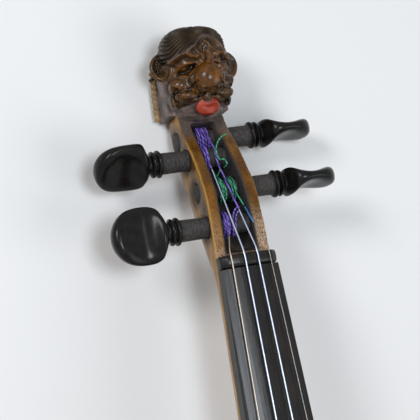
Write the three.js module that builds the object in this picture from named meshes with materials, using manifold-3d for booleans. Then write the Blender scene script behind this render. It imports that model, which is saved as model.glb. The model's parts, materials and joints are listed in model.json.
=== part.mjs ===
// A 4/4 violin with a carved lion head in place of the scroll, lying on its back.
// Millimetres. +Y runs from the end button to the head, +X is the treble side and +Z the front.
// The body is modelled from its lower edge, with z = 0 where the ribs meet the top plate.
// The neck, the pegbox and the head have a frame of their own, the neck frame: its origin is the
// line between nut and fingerboard, on the plane where the fingerboard is glued to the neck.

import * as THREE from 'three';
import { mergeVertices } from 'three/addons/utils/BufferGeometryUtils.js';
import Module from 'manifold-3d';

const wasm = await Module();
wasm.setup();

// Clearances
const glueGap = 0.25;
const runningGap = 0.3;
const cutOverrun = 1.5;

// Body
const bodyLength = 356;
const lowerBoutWidth = 208;
const waistWidth = 112;
const upperBoutWidth = 168;
const lowerHalf = lowerBoutWidth / 2;
const waistHalf = waistWidth / 2;
const upperHalf = upperBoutWidth / 2;
const ribHeight = 31;
const ribThickness = 1.1;
const overhang = 2.8;

// Plates
const edgeThickness = 4;
const edgeRounding = 0.9;
const edgePlatform = 5.2;
const plateThickness = 3;
const topArchHeight = 15.5;
const backArchHeight = 16;
const archFlatness = 1.7;
const glueMargin = 8;
const buttonHalfWidth = 10.5;
const buttonReach = 12.5;

// Blocks, linings, bass bar and sound post
const lowerBlockWidth = 46;
const upperBlockWidth = 52;
const blockDepth = 15;
const upperBlockDepth = 18;
const cornerBlockLeg = 24;
const cornerBlockBelly = 2;
const liningThickness = 2;
const liningHeight = 7.6;
const liningClearance = 3;
const bassBarLength = 268;
const bassBarWidth = 5.5;
const bassBarHeight = 11;
const bassBarEndHeight = 4;
const barSeat = 0.6;
const bassBarOffset = 15.5;
const soundPostRadius = 3;
const soundPostOffset = 15;
const soundPostBehindBridge = 6.5;

// F-holes
const bodyStopShare = 0.54775;
const bridgeY = bodyLength * (1 - bodyStopShare);
const fHoleLength = 80;
const fHoleWidth = 34;
const fHoleCentre = 40;
const fHoleStemWidth = 5.6;
const fHoleTipWidth = 2.4;
const fHoleUpperEyeRadius = 3.3;
const fHoleLowerEyeRadius = 4.6;

// Neck and fingerboard
const neckStop = 130;
const neckSlopeDegrees = 6.3;
const overstand = 6;
const neckDepthAtNut = 13.5;
const neckDepthAtBody = 15.5;
const neckRootInset = 9;
const heelLevels = 6;
const heelFacets = 8;
const heelFlare = 0.8;
const heelSweepPower = 2.6;
const heelRise = 26;
const heelSweep = 24;
const boardLength = 270;
const boardWidthAtNut = 24;
const boardWidthAtEnd = 42;
const boardEdgeThickness = 5;
const boardCrownRadius = 42;
const boardHollow = 2.4;

// Nut
const nutLength = 5.5;
const nutLift = 0.9;
const nutRounding = 1.4;
const nutCornerPower = 12;
const stringSpacingAtNut = 5.5;

// Pegbox
const pegboxLength = 69;
const pegboxDrop = 19;
const pegboxRear = 35.8;
const pegboxWidthAtHead = 20.5;
const cheekThickness = 5.1;

// Pegs
const pegShaftRadius = 4.25;
const pegTaper = 1 / 60;
const pegExposure = 11.4;
const pegCollarLength = 5.6;
const pegCollarRadius = 5.7;
const pegHeadLength = 22.4;
const pegHeadWidth = 23.4;
const pegHeadThickness = 12;
const pegHeadDish = 1.1;
const pegHeadSquareness = 0.8;
const silkThickness = 1;

// Head
const headHeight = 35;
const headDepth = 34.5;
const headRecess = 6;
const headHalfWidth = 16.4;
const headBlockHalfWidth = 14;
const earPlane = 18.5;
const earReach = 3.2;
const earHeight = 8.6;
const earRimRadius = 1.4;

// Strings
const stringSpacingAtBridge = 11.3;
const pegLeadShare = 0.35;
const stringPlaceShares = [0.33, 0.66, 0.97];
const stringRest = 0.25;
const stringRadii = [0.42, 0.44, 0.36, 0.16];

// Bridge
const bridgeWidth = 41;
const bridgeHeight = 33;
const bridgeFootThickness = 4.3;
const bridgeTopThickness = 1.4;
const bridgeCrownRadius = 42;

// Tailpiece, gut, saddle and end button
const tailpieceLength = 106;
const tailEndGap = 0.5;
const tailpieceWidth = 40;
const tailpieceTailWidth = 22;
const tailpieceThickness = 4.6;
const tailpieceFrontHeight = 32;
const tailpieceTailHeight = 14.6;
const tailpieceCrown = 5;
const stringHoleInset = 8;
const stringHoleRadius = 1.3;
const gutRadius = 0.9;
const gutSpread = 5.5;
const saddleWidth = 35;
const saddleLength = 6;
const saddleHeight = 8;
const saddleRounding = 2.5;
const buttonStemRadius = 3.75;
const buttonStemLength = 13;
const buttonHeadRadius = 7;
const buttonHeadLength = 7;
const buttonGroove = 4;
const buttonFaceRadius = 4.6;

// Fine tuner on the E string
const tunerLength = 15;
const tunerWidth = 7;
const tunerBaseThickness = 1.6;
const tunerCheekThickness = 1.3;
const tunerHeight = 7.5;
const tunerPinRadius = 1;
const tunerPinInset = 2.5;
const tunerBossLength = 6;
const tunerBossThickness = 2.4;
const tunerHookHeight = 7;
const tunerArmThickness = 1.8;
const tunerScrewRadius = 1.3;
const tunerKnobRadius = 3.9;
const tunerKnobHeight = 4.4;
const tunerStem = 1.6;
const tunerFrontShare = 0.25;
const tunerStudRadius = 1;
const tunerLoopSlack = 1;
const tunerNutRadius = 3;
const tunerNutThickness = 1.6;

// Facets and steps of round and curved forms
const tableSteps = 12;
const pegFacets = 10;
const pegHeadFacets = 10;
const neckSteps = 25;
const neckFacets = 10;
const cavitySteps = 10;
const cavityFacets = 6;
const boardFacets = 10;
const boardHollowFacets = 6;
const headRows = 21;
const headColumns = 16;
const earFacets = 8;
const earSteps = 6;
const mouthFacets = 10;
const barSteps = 12;
const fHoleSteps = 14;
const buttonArcSteps = 12;
const bridgeArcSteps = 8;
const tailFacets = 8;
const stringFacets = 6;
const stringSteps = 1;
const gutSteps = 2;
const drillFacets = 10;
const tunerFacets = 12;
const knobFacets = 14;
const endButtonFacets = 18;

// Materials
const woodLook = (colour, roughness) => ({ color: colour, roughness, metalness: 0 });
const looks = {
  spruce: woodLook('#b9722c', 0.3),
  maple: woodLook('#a8642a', 0.3),
  carving: woodLook('#5a2f14', 0.25),
  ebony: woodLook('#17130f', 0.35),
  bareWood: woodLook('#d8b98a', 0.75),
  bridgeMaple: woodLook('#d9b47c', 0.6),
  silk: { color: '#5a3fb0', roughness: 0.7, metalness: 0 },
  gut: { color: '#191919', roughness: 0.5, metalness: 0 },
  steel: { color: '#c9ccd0', roughness: 0.3, metalness: 1 },
};

// Geometry helpers

const vec2 = (x, y) => new THREE.Vector2(x, y);
const vec3 = (x, y, z) => new THREE.Vector3(x, y, z);
const degrees = THREE.MathUtils.degToRad;
const lerp = THREE.MathUtils.lerp;
const clamp = THREE.MathUtils.clamp;

function signedVolume(geometry) {
  const p = geometry.attributes.position;
  const index = geometry.index.array;
  const a = vec3();
  const b = vec3();
  const c = vec3();
  let volume = 0;
  for (let i = 0; i < index.length; i += 3) {
    a.fromBufferAttribute(p, index[i]);
    b.fromBufferAttribute(p, index[i + 1]);
    c.fromBufferAttribute(p, index[i + 2]);
    volume += a.dot(b.cross(c)) / 6;
  }
  return volume;
}

// Joins equal vertices, drops faces without area and turns every face outwards.
function welded(geometry) {
  const bare = geometry.clone();
  bare.deleteAttribute('normal');
  bare.deleteAttribute('uv');
  const merged = mergeVertices(bare);
  const old = merged.index.array;
  const index = [];
  for (let i = 0; i < old.length; i += 3) {
    const [a, b, c] = [old[i], old[i + 1], old[i + 2]];
    if (a !== b && b !== c && c !== a) index.push(a, b, c);
  }
  merged.setIndex(index);
  if (signedVolume(merged) < 0) {
    for (let i = 0; i < index.length; i += 3) [index[i], index[i + 1]] = [index[i + 1], index[i]];
    merged.setIndex(index);
  }
  return merged;
}

function toSolid(geometry) {
  const clean = welded(geometry);
  return new wasm.Manifold(new wasm.Mesh({
    numProp: 3,
    vertProperties: new Float32Array(clean.attributes.position.array),
    triVerts: new Uint32Array(clean.index.array),
  }));
}

function fromSolid(solid) {
  const mesh = solid.getMesh();
  const geometry = new THREE.BufferGeometry();
  geometry.setAttribute('position', new THREE.BufferAttribute(mesh.vertProperties, 3));
  geometry.setIndex(new THREE.BufferAttribute(mesh.triVerts, 1));
  return geometry;
}

function cut(geometry, ...tools) {
  let solid = toSolid(geometry);
  for (const tool of tools) solid = solid.subtract(toSolid(tool));
  return fromSolid(solid);
}

function joined(...geometries) {
  let solid = toSolid(geometries[0]);
  for (const other of geometries.slice(1)) solid = solid.add(toSolid(other));
  return fromSolid(solid);
}

// A closed solid through rings of points, with a fan over each end ring.
function loft(rings) {
  const size = rings[0].length;
  const positions = rings.flat().flatMap((p) => [p.x, p.y, p.z]);
  const index = [];
  for (let r = 0; r + 1 < rings.length; r++) {
    for (let i = 0; i < size; i++) {
      const j = (i + 1) % size;
      const low = r * size;
      const high = low + size;
      index.push(low + i, low + j, high + j, low + i, high + j, high + i);
    }
  }
  for (const r of [0, rings.length - 1]) {
    const centre = rings[r].reduce((sum, p) => sum.add(p), vec3(0, 0, 0)).divideScalar(size);
    const tip = positions.length / 3;
    positions.push(centre.x, centre.y, centre.z);
    for (let i = 0; i < size; i++) {
      const [a, b] = [r * size + i, r * size + (i + 1) % size];
      if (r === 0) index.push(tip, b, a);
      else index.push(tip, a, b);
    }
  }
  const geometry = new THREE.BufferGeometry();
  geometry.setAttribute('position', new THREE.Float32BufferAttribute(positions, 3));
  geometry.setIndex(index);
  return welded(geometry);
}

function box(x0, x1, y0, y1, z0, z1) {
  const geometry = new THREE.BoxGeometry(x1 - x0, y1 - y0, z1 - z0);
  return welded(geometry.translate((x0 + x1) / 2, (y0 + y1) / 2, (z0 + z1) / 2));
}

// A flat outline in X and Y, given thickness from z0 to z1.
function slab(points, z0, z1) {
  const shape = new THREE.Shape(points);
  const geometry = new THREE.ExtrudeGeometry(shape, { depth: z1 - z0, bevelEnabled: false });
  return welded(geometry.translate(0, 0, z0));
}

function turned(profile, segments) {
  return welded(new THREE.LatheGeometry(profile, segments));
}

// A smooth curve whose even steps fall on its control points.
class Route extends THREE.CatmullRomCurve3 {
  getPointAt(share, target) {
    return this.getPoint(share, target);
  }

  getTangentAt(share, target) {
    return this.getTangent(share, target);
  }
}

// A round tube through points, with a few steps from each point to the next.
function tube(points, radius, sides, stepsBetween) {
  const path = new Route(points, false, 'centripetal');
  const steps = Math.round(stepsBetween * (points.length - 1));
  const ring = [];
  for (let i = 0; i < sides; i++) {
    const angle = 2 * Math.PI * i / sides;
    ring.push(vec2(radius * Math.cos(angle), radius * Math.sin(angle)));
  }
  const shape = new THREE.Shape(ring);
  return welded(new THREE.ExtrudeGeometry(shape, { steps, extrudePath: path, bevelEnabled: false }));
}

// A smooth function through rows of [place, value].
function smoothTable(rows) {
  const samples = new THREE.SplineCurve(rows.map(([x, y]) => vec2(x, y))).getPoints(rows.length * tableSteps);
  return (place) => {
    const next = samples.findIndex((p) => p.x >= place);
    if (next === 0) return samples[0].y;
    if (next < 0) return samples[samples.length - 1].y;
    const [a, b] = [samples[next - 1], samples[next]];
    return lerp(a.y, b.y, (place - a.x) / Math.max(b.x - a.x, Number.EPSILON));
  };
}

// Flat polylines

function normals(points) {
  return points.map((_, i) => {
    const before = points[Math.max(i - 1, 0)];
    const after = points[Math.min(i + 1, points.length - 1)];
    const along = after.clone().sub(before).normalize();
    return vec2(-along.y, along.x);
  });
}

function offset(points, distance) {
  const directions = normals(points);
  return points.map((p, i) => p.clone().addScaledVector(directions[i], distance));
}

// Keeps the stretch of a polyline that lies at least keep beyond a line.
function clipped(points, origin, normal, keep) {
  const depth = (p) => p.clone().sub(origin).dot(normal) - keep;
  const result = [];
  points.forEach((p, i) => {
    if (i > 0) {
      const before = points[i - 1];
      const [d0, d1] = [depth(before), depth(p)];
      if (d0 * d1 < 0) result.push(before.clone().lerp(p, d0 / (d0 - d1)));
    }
    if (depth(p) >= 0) result.push(p);
  });
  return result;
}

function lengthOf(points) {
  return points.reduce((sum, p, i) => (i ? sum + p.distanceTo(points[i - 1]) : 0), 0);
}

function stretch(points, from, to) {
  const result = [];
  let run = 0;
  points.forEach((p, i) => {
    if (i > 0) {
      const before = points[i - 1];
      const step = p.distanceTo(before);
      for (const mark of [from, to]) {
        if (mark > run && mark < run + step) result.push(before.clone().lerp(p, (mark - run) / step));
      }
      run += step;
    }
    if (run >= from && run <= to) result.push(p.clone());
  });
  return result;
}

const mirrored = (points) => points.map((p) => vec2(-p.x, p.y));
const strip = (outer, inner) => [...outer, ...[...inner].reverse()];

// Body outline

const atLower = ([x, y]) => vec2(x * lowerHalf, y * bodyLength);
const atWaist = ([x, y]) => vec2(x * waistHalf, y * bodyLength);
const atUpper = ([x, y]) => vec2(x * upperHalf, y * bodyLength);

const lowerBoutShares = [
  [[0, 0], [0.6, 0], [1, 0.07], [1, 0.21]],
  [[1, 0.21], [1, 0.29], [0.862, 0.335], [0.852, 0.385]],
  [[0.852, 0.385], [0.848, 0.405], [0.862, 0.418], [0.905, 0.427]],
];
const lowerTipShare = [0.889, 0.4445];
const lowerHornShare = [0.71, 0.4455];
const waistShares = [[1, 0.485], [1, 0.553], [1, 0.608]];
const upperHornShare = [0.75, 0.6445];
const upperTipShare = [0.91, 0.6455];
const upperBoutShares = [
  [[0.931, 0.6615], [0.887, 0.668], [0.867, 0.683], [0.871, 0.7]],
  [[0.871, 0.7], [0.879, 0.728], [1, 0.765], [1, 0.82]],
  [[1, 0.82], [1, 0.925], [0.58, 1], [0, 1]],
];

function sampled(curves, counts) {
  const points = [];
  curves.forEach((curve, i) => {
    const some = curve.getSpacedPoints(counts[i]);
    points.push(...(i ? some.slice(1) : some));
  });
  return points;
}

const bezier = (points) => new THREE.CubicBezierCurve(...points);
const waistPoints = waistShares.map(atWaist);
const lowerBout = sampled(lowerBoutShares.map((row) => bezier(row.map(atLower))), [6, 3, 2]);
const waistBout = sampled([
  bezier([atLower(lowerTipShare), atLower(lowerHornShare), waistPoints[0], waistPoints[1]]),
  bezier([waistPoints[1], waistPoints[2], atUpper(upperHornShare), atUpper(upperTipShare)]),
], [4, 4]);
const upperBout = sampled(upperBoutShares.map((row) => bezier(row.map(atUpper))), [2, 3, 6]);

// Each outline point has a point on the centre line to run to; the plates' surfaces follow these lines.
const spineShares = { lower: [0.11, 0.4], waist: [0.41, 0.68], upper: [0.69, 0.88] };

function fibres(bout, [from, to]) {
  const total = lengthOf(bout);
  return bout.map((edge, i) => {
    const share = lengthOf(bout.slice(0, i + 1)) / total;
    return { edge, spine: vec2(0, lerp(from, to, share) * bodyLength) };
  });
}

const halfFibres = [
  ...fibres(lowerBout, spineShares.lower),
  ...fibres(waistBout, spineShares.waist),
  ...fibres(upperBout, spineShares.upper),
];
const mirroredFibres = halfFibres.slice(1, -1).reverse()
  .map(({ edge, spine }) => ({ edge: vec2(-edge.x, edge.y), spine }));
const allFibres = [...halfFibres, ...mirroredFibres];

// Arching

const archHalfWidth = smoothTable([
  [0, lowerHalf * 0.2],
  [0.03, lowerHalf * 0.62],
  [0.08, lowerHalf * 0.84],
  [0.15, lowerHalf * 0.93],
  [0.21, lowerHalf * 0.95],
  [0.29, lowerHalf * 0.92],
  [0.37, lowerHalf * 0.8],
  [0.45, waistHalf * 1.1],
  [0.55, waistHalf * 0.9],
  [0.63, waistHalf * 0.97],
  [0.7, upperHalf * 0.8],
  [0.76, upperHalf * 0.89],
  [0.82, upperHalf * 0.938],
  [0.88, upperHalf * 0.9],
  [0.94, upperHalf * 0.72],
  [0.98, upperHalf * 0.45],
  [1, upperHalf * 0.2],
]);

// Height of a plate's outer surface over its gluing plane.
function archHeight(x, y, crown) {
  const across = clamp(Math.abs(x) / archHalfWidth(y / bodyLength), 0, 1);
  const middle = bodyLength / 2;
  const along = clamp(Math.abs(y - middle) / (middle - edgePlatform), 0, 1);
  const crossShare = (1 + Math.cos(Math.PI * across)) / 2;
  const longShare = (1 + Math.cos(Math.PI * Math.pow(along, archFlatness))) / 2;
  return edgeThickness + (crown - edgeThickness) * crossShare * longShare;
}

function innerHeight(x, y, crown) {
  const rise = (archHeight(x, y, crown) - edgeThickness) / (crown - edgeThickness);
  return rise * (crown - plateThickness);
}

const outerRingShares = [0.12, 0.3, 0.52, 0.76, 1];
const innerRingShares = [0.22, 0.48, 0.75, 1];

function ringAt(distance, heightAt) {
  return allFibres.map(({ edge, spine }) => {
    const p = edge.clone().lerp(spine, distance(edge.distanceTo(spine)));
    return vec3(p.x, p.y, heightAt(p.x, p.y));
  });
}

function plate(crown) {
  const outside = (x, y) => archHeight(x, y, crown);
  const inside = (x, y) => innerHeight(x, y, crown);
  const inset = (size) => (length) => size / length;
  const between = (margin, share) => (length) => (margin + (length - margin) * share) / length;
  const flat = (z) => () => z;
  const rings = [];
  for (const share of [...innerRingShares].reverse()) rings.push(ringAt(between(glueMargin, share), inside));
  rings.push(ringAt(inset(glueMargin), flat(0)));
  rings.push(ringAt(inset(edgeRounding), flat(0)));
  rings.push(ringAt(inset(0), flat(edgeRounding)));
  rings.push(ringAt(inset(0), flat(edgeThickness - edgeRounding)));
  rings.push(ringAt(inset(edgeRounding), flat(edgeThickness)));
  rings.push(ringAt(inset(edgePlatform), flat(edgeThickness)));
  for (const share of outerRingShares) rings.push(ringAt(between(edgePlatform, share), outside));
  return surfaceThrough(rings);
}

// Rings that start and end folded flat on the centre line need no end faces.
function surfaceThrough(rings) {
  const size = rings[0].length;
  const positions = rings.flat().flatMap((p) => [p.x, p.y, p.z]);
  const index = [];
  for (let r = 0; r + 1 < rings.length; r++) {
    for (let i = 0; i < size; i++) {
      const j = (i + 1) % size;
      const low = r * size;
      const high = low + size;
      index.push(low + i, low + j, high + j, low + i, high + j, high + i);
    }
  }
  const geometry = new THREE.BufferGeometry();
  geometry.setAttribute('position', new THREE.Float32BufferAttribute(positions, 3));
  geometry.setIndex(index);
  return welded(geometry);
}

// Neck frame

const neckSlope = degrees(neckSlopeDegrees);
const neckPlaneAtBody = edgeThickness + overstand;
const nutY = bodyLength + neckStop * Math.cos(neckSlope);
const nutZ = neckPlaneAtBody - neckStop * Math.sin(neckSlope);
const neckMatrix = new THREE.Matrix4().makeRotationX(-neckSlope).setPosition(0, nutY, nutZ);
const neckInverse = neckMatrix.clone().invert();
const fromNeck = (x, y, z) => vec3(x, y, z).applyMatrix4(neckMatrix);
const gluePlaneAt = (y) => neckPlaneAtBody + (bodyLength - y) * Math.tan(neckSlope);
const boardHalfWidth = (y) => lerp(boardWidthAtNut, boardWidthAtEnd, -y / boardLength) / 2;

// The neck root and the heel, cut level by level: flat where it enters the block, round outside.
function heel() {
  const bottom = -ribHeight + glueGap;
  const rootHalf = boardHalfWidth(-neckStop);
  const rings = [];
  for (let k = 0; k <= heelLevels; k++) {
    const share = k / heelLevels;
    const half = lerp(buttonHalfWidth, rootHalf, Math.pow(share, heelFlare));
    const rise = clamp(share * (neckPlaneAtBody - bottom) / heelRise, 0, 1);
    const reach = buttonReach + heelSweep * Math.pow(rise, heelSweepPower);
    const ring = [vec2(half, bodyLength - neckRootInset)];
    for (let i = 0; i <= heelFacets; i++) {
      const angle = Math.PI * i / heelFacets;
      ring.push(vec2(half * Math.cos(angle), bodyLength + reach * Math.sin(angle)));
    }
    ring.push(vec2(-half, bodyLength - neckRootInset));
    rings.push(ring.map((p) => vec3(p.x, p.y, lerp(bottom, gluePlaneAt(p.y), share))));
  }
  return loft(rings);
}

const mortiseWidest = boardHalfWidth(-neckStop) + runningGap;

function mortise(z0, z1) {
  const y0 = bodyLength - neckRootInset - runningGap;
  return box(-mortiseWidest, mortiseWidest, y0, bodyLength + buttonReach, z0, z1);
}

// Stations along the neck: front place, rear place, half width and how square the section is.
const pegboxFrontShares = [[0.095, 0.01], [0.29, 0.02], [0.48, -0.03], [0.69, -0.38], [0.88, -0.83], [1, -1]];
const pegboxRearShares = [[0.1, -0.5], [0.25, -0.62], [0.44, -0.74], [0.65, -0.9], [0.83, -0.99], [1, -1]];
const pegboxSquareness = [3, 4, 5, 5, 5, 5];
const neckPlaceShares = [0.7, 0.35, 0.06];
const neckSquareness = 2;
const cavitySquareness = 5;
const pegboxHalfWidth = (y) => lerp(boardWidthAtNut, pegboxWidthAtHead, clamp(y / pegboxLength, 0, 1)) / 2;

function neckStations() {
  const root = -neckStop - neckRootInset / 2;
  const stations = [root, ...neckPlaceShares.map((share) => -neckStop * share)].map((y) => ({
    front: vec2(y, 0),
    rear: vec2(y, -lerp(neckDepthAtNut, neckDepthAtBody, -y / neckStop)),
    half: boardHalfWidth(y),
    square: neckSquareness,
  }));
  pegboxFrontShares.forEach(([y, z], i) => {
    const [rearY, rearZ] = pegboxRearShares[i];
    stations.push({
      front: vec2(y * pegboxLength, z * pegboxDrop),
      rear: vec2(rearY * pegboxLength, rearZ * pegboxRear),
      half: pegboxHalfWidth(y * pegboxLength),
      square: pegboxSquareness[i],
    });
  });
  return stations;
}

// Points of a section between its front edge and its rear, from the treble side to the bass side.
function sectionRing({ front, rear, half, square }, count) {
  const ring = [];
  for (let i = 0; i <= count; i++) {
    const angle = Math.PI * i / count;
    const width = Math.sign(Math.cos(angle)) * Math.pow(Math.abs(Math.cos(angle)), 2 / square);
    const depth = Math.pow(Math.sin(angle), 2 / square);
    const place = front.clone().lerp(rear, clamp(depth, 0, 1));
    ring.push(vec3(half * width, place.x, place.y));
  }
  return ring;
}

function loftStations(stations, steps, count) {
  const frontCurve = new THREE.SplineCurve(stations.map((s) => s.front));
  const rearCurve = new THREE.SplineCurve(stations.map((s) => s.rear));
  const last = stations.length - 1;
  const rings = [];
  for (let k = 0; k <= steps; k++) {
    const t = k / steps;
    const low = Math.min(Math.floor(t * last), last - 1);
    const part = t * last - low;
    rings.push(sectionRing({
      front: frontCurve.getPoint(t),
      rear: rearCurve.getPoint(t),
      half: lerp(stations[low].half, stations[low + 1].half, part),
      square: lerp(stations[low].square, stations[low + 1].square, part),
    }, count));
  }
  return loft(rings);
}

// The open box between the cheeks, as a cutter that stands above their front edges.
const cavityFrontShares = [
  [0.075, 0.4], [0.26, 0.4], [0.48, 0.36], [0.69, 0.02], [0.84, -0.37], [0.945, -0.68],
];
const cavityRearShares = [
  [0.125, -0.26], [0.25, -0.455], [0.44, -0.62], [0.64, -0.78], [0.8, -0.86], [0.92, -0.86],
];

function pegboxCavity() {
  const stations = cavityFrontShares.map(([y, z], i) => {
    const [rearY, rearZ] = cavityRearShares[i];
    return {
      front: vec2(y * pegboxLength, z * pegboxDrop),
      rear: vec2(rearY * pegboxLength, rearZ * pegboxRear),
      half: pegboxHalfWidth(y * pegboxLength) - cheekThickness,
      square: cavitySquareness,
    };
  });
  return loftStations(stations, cavitySteps, cavityFacets);
}

// Pegs, in the order of the strings: place along the box and depth in it as shares of the box,
// side of the head, its turn, and the silk winding as shares of the inner half width.
const pegPlaceShares = [
  { name: 'g', share: [0.2754, 0.1676], side: -1, turn: 0, silkShares: [[-0.85, -0.36]] },
  { name: 'd', share: [0.7072, 0.4469], side: -1, turn: 52, silkShares: [[-0.85, -0.34]] },
  { name: 'a', share: [0.8435, 0.6844], side: 1, turn: 90, silkShares: [[-0.6, 0.66]], over: 1 },
  { name: 'e', share: [0.4928, 0.3073], side: 1, turn: 90, silkShares: [[-0.42, 0.16], [0.46, 0.84]] },
];
const pegs = pegPlaceShares.map((peg) => {
  return { ...peg, y: peg.share[0] * pegboxLength, z: -peg.share[1] * pegboxRear };
});

const pegRadiusAt = (along) => pegShaftRadius - along * pegTaper;

// A peg along +Y of its own frame: 0 is the outside of the cheek at its head, + runs into the box.
function pegGeometry(peg) {
  const width = 2 * pegboxHalfWidth(peg.y);
  const collarEnd = -pegExposure - pegCollarLength;
  const collar = pegCollarShares.map(([r, y]) => vec2(r * pegCollarRadius, -pegExposure - y * pegCollarLength));
  const stem = pegCollarRadius * pegStemShare;
  const profile = [
    vec2(0, width),
    vec2(pegRadiusAt(width), width),
    vec2(pegShaftRadius + pegExposure * pegTaper, -pegExposure),
    ...collar,
    vec2(stem, collarEnd),
    vec2(stem, collarEnd - cutOverrun),
    vec2(0, collarEnd - cutOverrun),
  ];
  return joined(turned(profile, pegFacets), pegHead(collarEnd));
}

const pegStemShare = 0.76;
const pegCollarShares = [
  [0.86, 0.02], [1, 0.12], [1, 0.24], [0.86, 0.36], [0.8, 0.44], [0.95, 0.54], [0.98, 0.66], [0.86, 0.78],
];
const pegHeadShares = [
  [0, 0.4, 0.66], [0.08, 0.74, 0.93], [0.2, 0.93, 0.84], [0.38, 1, 0.6], [0.58, 0.97, 0.58],
  [0.78, 0.82, 0.7], [0.92, 0.53, 0.65], [0.985, 0.24, 0.44],
];

// The thumb piece: wide across X, thin across Z, its two faces dished.
function pegHead(start) {
  const rings = pegHeadShares.map(([along, width, thick]) => {
    const [half, depth] = [width * pegHeadWidth / 2, thick * pegHeadThickness / 2];
    const dish = pegHeadDish * Math.sin(Math.PI * along) * width;
    const ring = [];
    for (let i = 0; i < pegHeadFacets; i++) {
      const angle = 2 * Math.PI * i / pegHeadFacets;
      const [c, s] = [Math.cos(angle), Math.sin(angle)];
      const x = Math.sign(c) * Math.pow(Math.abs(c), pegHeadSquareness) * half;
      const hollow = dish * Math.pow(Math.abs(s), 3);
      const z = Math.sign(s) * (Math.pow(Math.abs(s), pegHeadSquareness) * depth - hollow);
      ring.push(vec3(x, start - along * pegHeadLength, z));
    }
    return ring;
  });
  return loft(rings);
}

// Silk wound round the peg inside the box: a sleeve with one ridge to each turn.
function silkGeometry(peg) {
  const half = pegboxHalfWidth(peg.y);
  const inner = half - cheekThickness;
  return peg.silkShares.map(([low, high]) => {
    const ends = [low, high].map((share) => half + peg.side * -1 * share * inner);
    const [from, to] = [Math.min(...ends), Math.max(...ends)];
    const turns = Math.max(2, Math.round((to - from) / (2 * silkThickness)));
    const outer = [];
    for (let i = 0; i <= 2 * turns; i++) {
      const along = lerp(from, to, i / (2 * turns));
      const ridge = i % 2 ? silkThickness : silkThickness / 2;
      outer.push(vec2(pegRadiusAt(along) + runningGap + ridge, along));
    }
    const hollow = (along) => vec2(pegRadiusAt(along) + runningGap / 2, along);
    return turned([hollow(from), ...outer, hollow(to), hollow(from)], pegFacets);
  });
}

function pegHole(peg) {
  const width = 2 * pegboxHalfWidth(peg.y);
  const profile = [vec2(0, -cutOverrun), vec2(pegRadiusAt(-cutOverrun) + runningGap, -cutOverrun),
    vec2(pegRadiusAt(width) + runningGap, width + cutOverrun), vec2(0, width + cutOverrun)];
  return turned(profile, pegFacets);
}

// Moves a peg's own frame to its place in the neck frame.
function pegMatrix(peg) {
  const place = vec3(peg.side * pegboxHalfWidth(peg.y), peg.y, peg.z);
  const across = new THREE.Matrix4().makeRotationZ(peg.side * Math.PI / 2);
  const spin = new THREE.Matrix4().makeRotationX(degrees(peg.turn));
  return new THREE.Matrix4().makeTranslation(place).multiply(spin).multiply(across);
}

function neckGeometry() {
  const handle = loftStations(neckStations(), neckSteps, neckFacets);
  const root = heel().applyMatrix4(neckInverse);
  const seatBack = nutLength + runningGap;
  const seat = box(-boardWidthAtEnd, boardWidthAtEnd, -neckStop - boardLength, seatBack, 0, overstand);
  const holes = pegs.map((peg) => pegHole(peg).applyMatrix4(pegMatrix({ ...peg, turn: 0 })));
  return cut(joined(handle, root), seat, pegboxCavity(), ...holes);
}

// Fingerboard and nut

const boardArc = (x) => Math.sqrt(boardCrownRadius ** 2 - x * x);
const boardCrown = (x, y) => boardArc(x) - boardArc(boardHalfWidth(y));
const boardTop = (x, y) => glueGap + boardEdgeThickness + boardCrown(x, y);

function fingerboardGeometry() {
  const rings = [];
  const hollowStart = -neckStop - neckRootInset;
  const places = [0, hollowStart, hollowStart - neckRootInset, (hollowStart - boardLength) / 2, -boardLength];
  places.forEach((y, k) => {
    const half = boardHalfWidth(y);
    const hollow = k > 1 ? boardHollow : 0;
    const ring = [];
    for (let i = 0; i <= boardFacets; i++) {
      const x = lerp(-half, half, i / boardFacets);
      ring.push(vec3(x, y, boardTop(x, y)));
    }
    for (let i = 0; i <= boardHollowFacets; i++) {
      const share = lerp(1, -1, i / boardHollowFacets);
      ring.push(vec3(share * half, y, glueGap + hollow * (1 - share * share)));
    }
    rings.push(ring);
  });
  return loft(rings);
}

const stringNutX = (i) => (i - 1.5) * stringSpacingAtNut;
const nutTop = (x) => boardTop(x, 0) + nutLift;

// The nut's rounded edges, as shares of its rounding: in from its face, and down from its top.
const nutEdgeShares = [[0, 1], [0.33, 0.33], [1, 0]];

function nutGeometry() {
  const half = boardWidthAtNut / 2;
  const start = runningGap;
  const front = nutEdgeShares.map(([y, drop]) => [start + y * nutRounding, drop * nutRounding]);
  const rear = nutEdgeShares.map(([y, drop]) => [nutLength - y * nutRounding, drop * nutRounding]);
  const rows = [...front, ...rear.reverse()];
  return loft(rows.map(([y, drop]) => {
    const ring = [vec3(half, y, glueGap)];
    for (let i = 0; i <= boardFacets; i++) {
      const share = lerp(1, -1, i / boardFacets);
      const corner = nutRounding * Math.pow(Math.abs(share), nutCornerPower);
      ring.push(vec3(share * half, y, nutTop(share * half) - drop - corner));
    }
    ring.push(vec3(-half, y, glueGap));
    return ring;
  }));
}

// Head

// Half width of the mask and of the block behind it, at shares of the head's height.
const maskWidthShares = [
  [0, 0.66], [0.06, 0.78], [0.12, 0.95], [0.2, 0.99], [0.3, 1], [0.46, 0.985], [0.63, 0.94],
  [0.77, 0.84], [0.89, 0.64], [0.96, 0.4], [1, 0.16],
];
const blockWidthShares = [
  [0, 1], [0.12, 1.02], [0.34, 1.05], [0.6, 1.03], [0.76, 0.96], [0.88, 0.76], [0.96, 0.48], [1, 0.2],
];
const middleShares = [
  [0, 0.3], [0.08, 0.22], [0.2, 0.1], [0.34, 0.04], [0.55, 0.02], [0.72, -0.03], [0.84, -0.04],
  [0.93, 0.04], [1, 0.36],
];
const rearShares = [[0, 1], [0.2, 0.99], [0.5, 0.93], [0.75, 0.82], [0.9, 0.68], [1, 0.5]];

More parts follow.
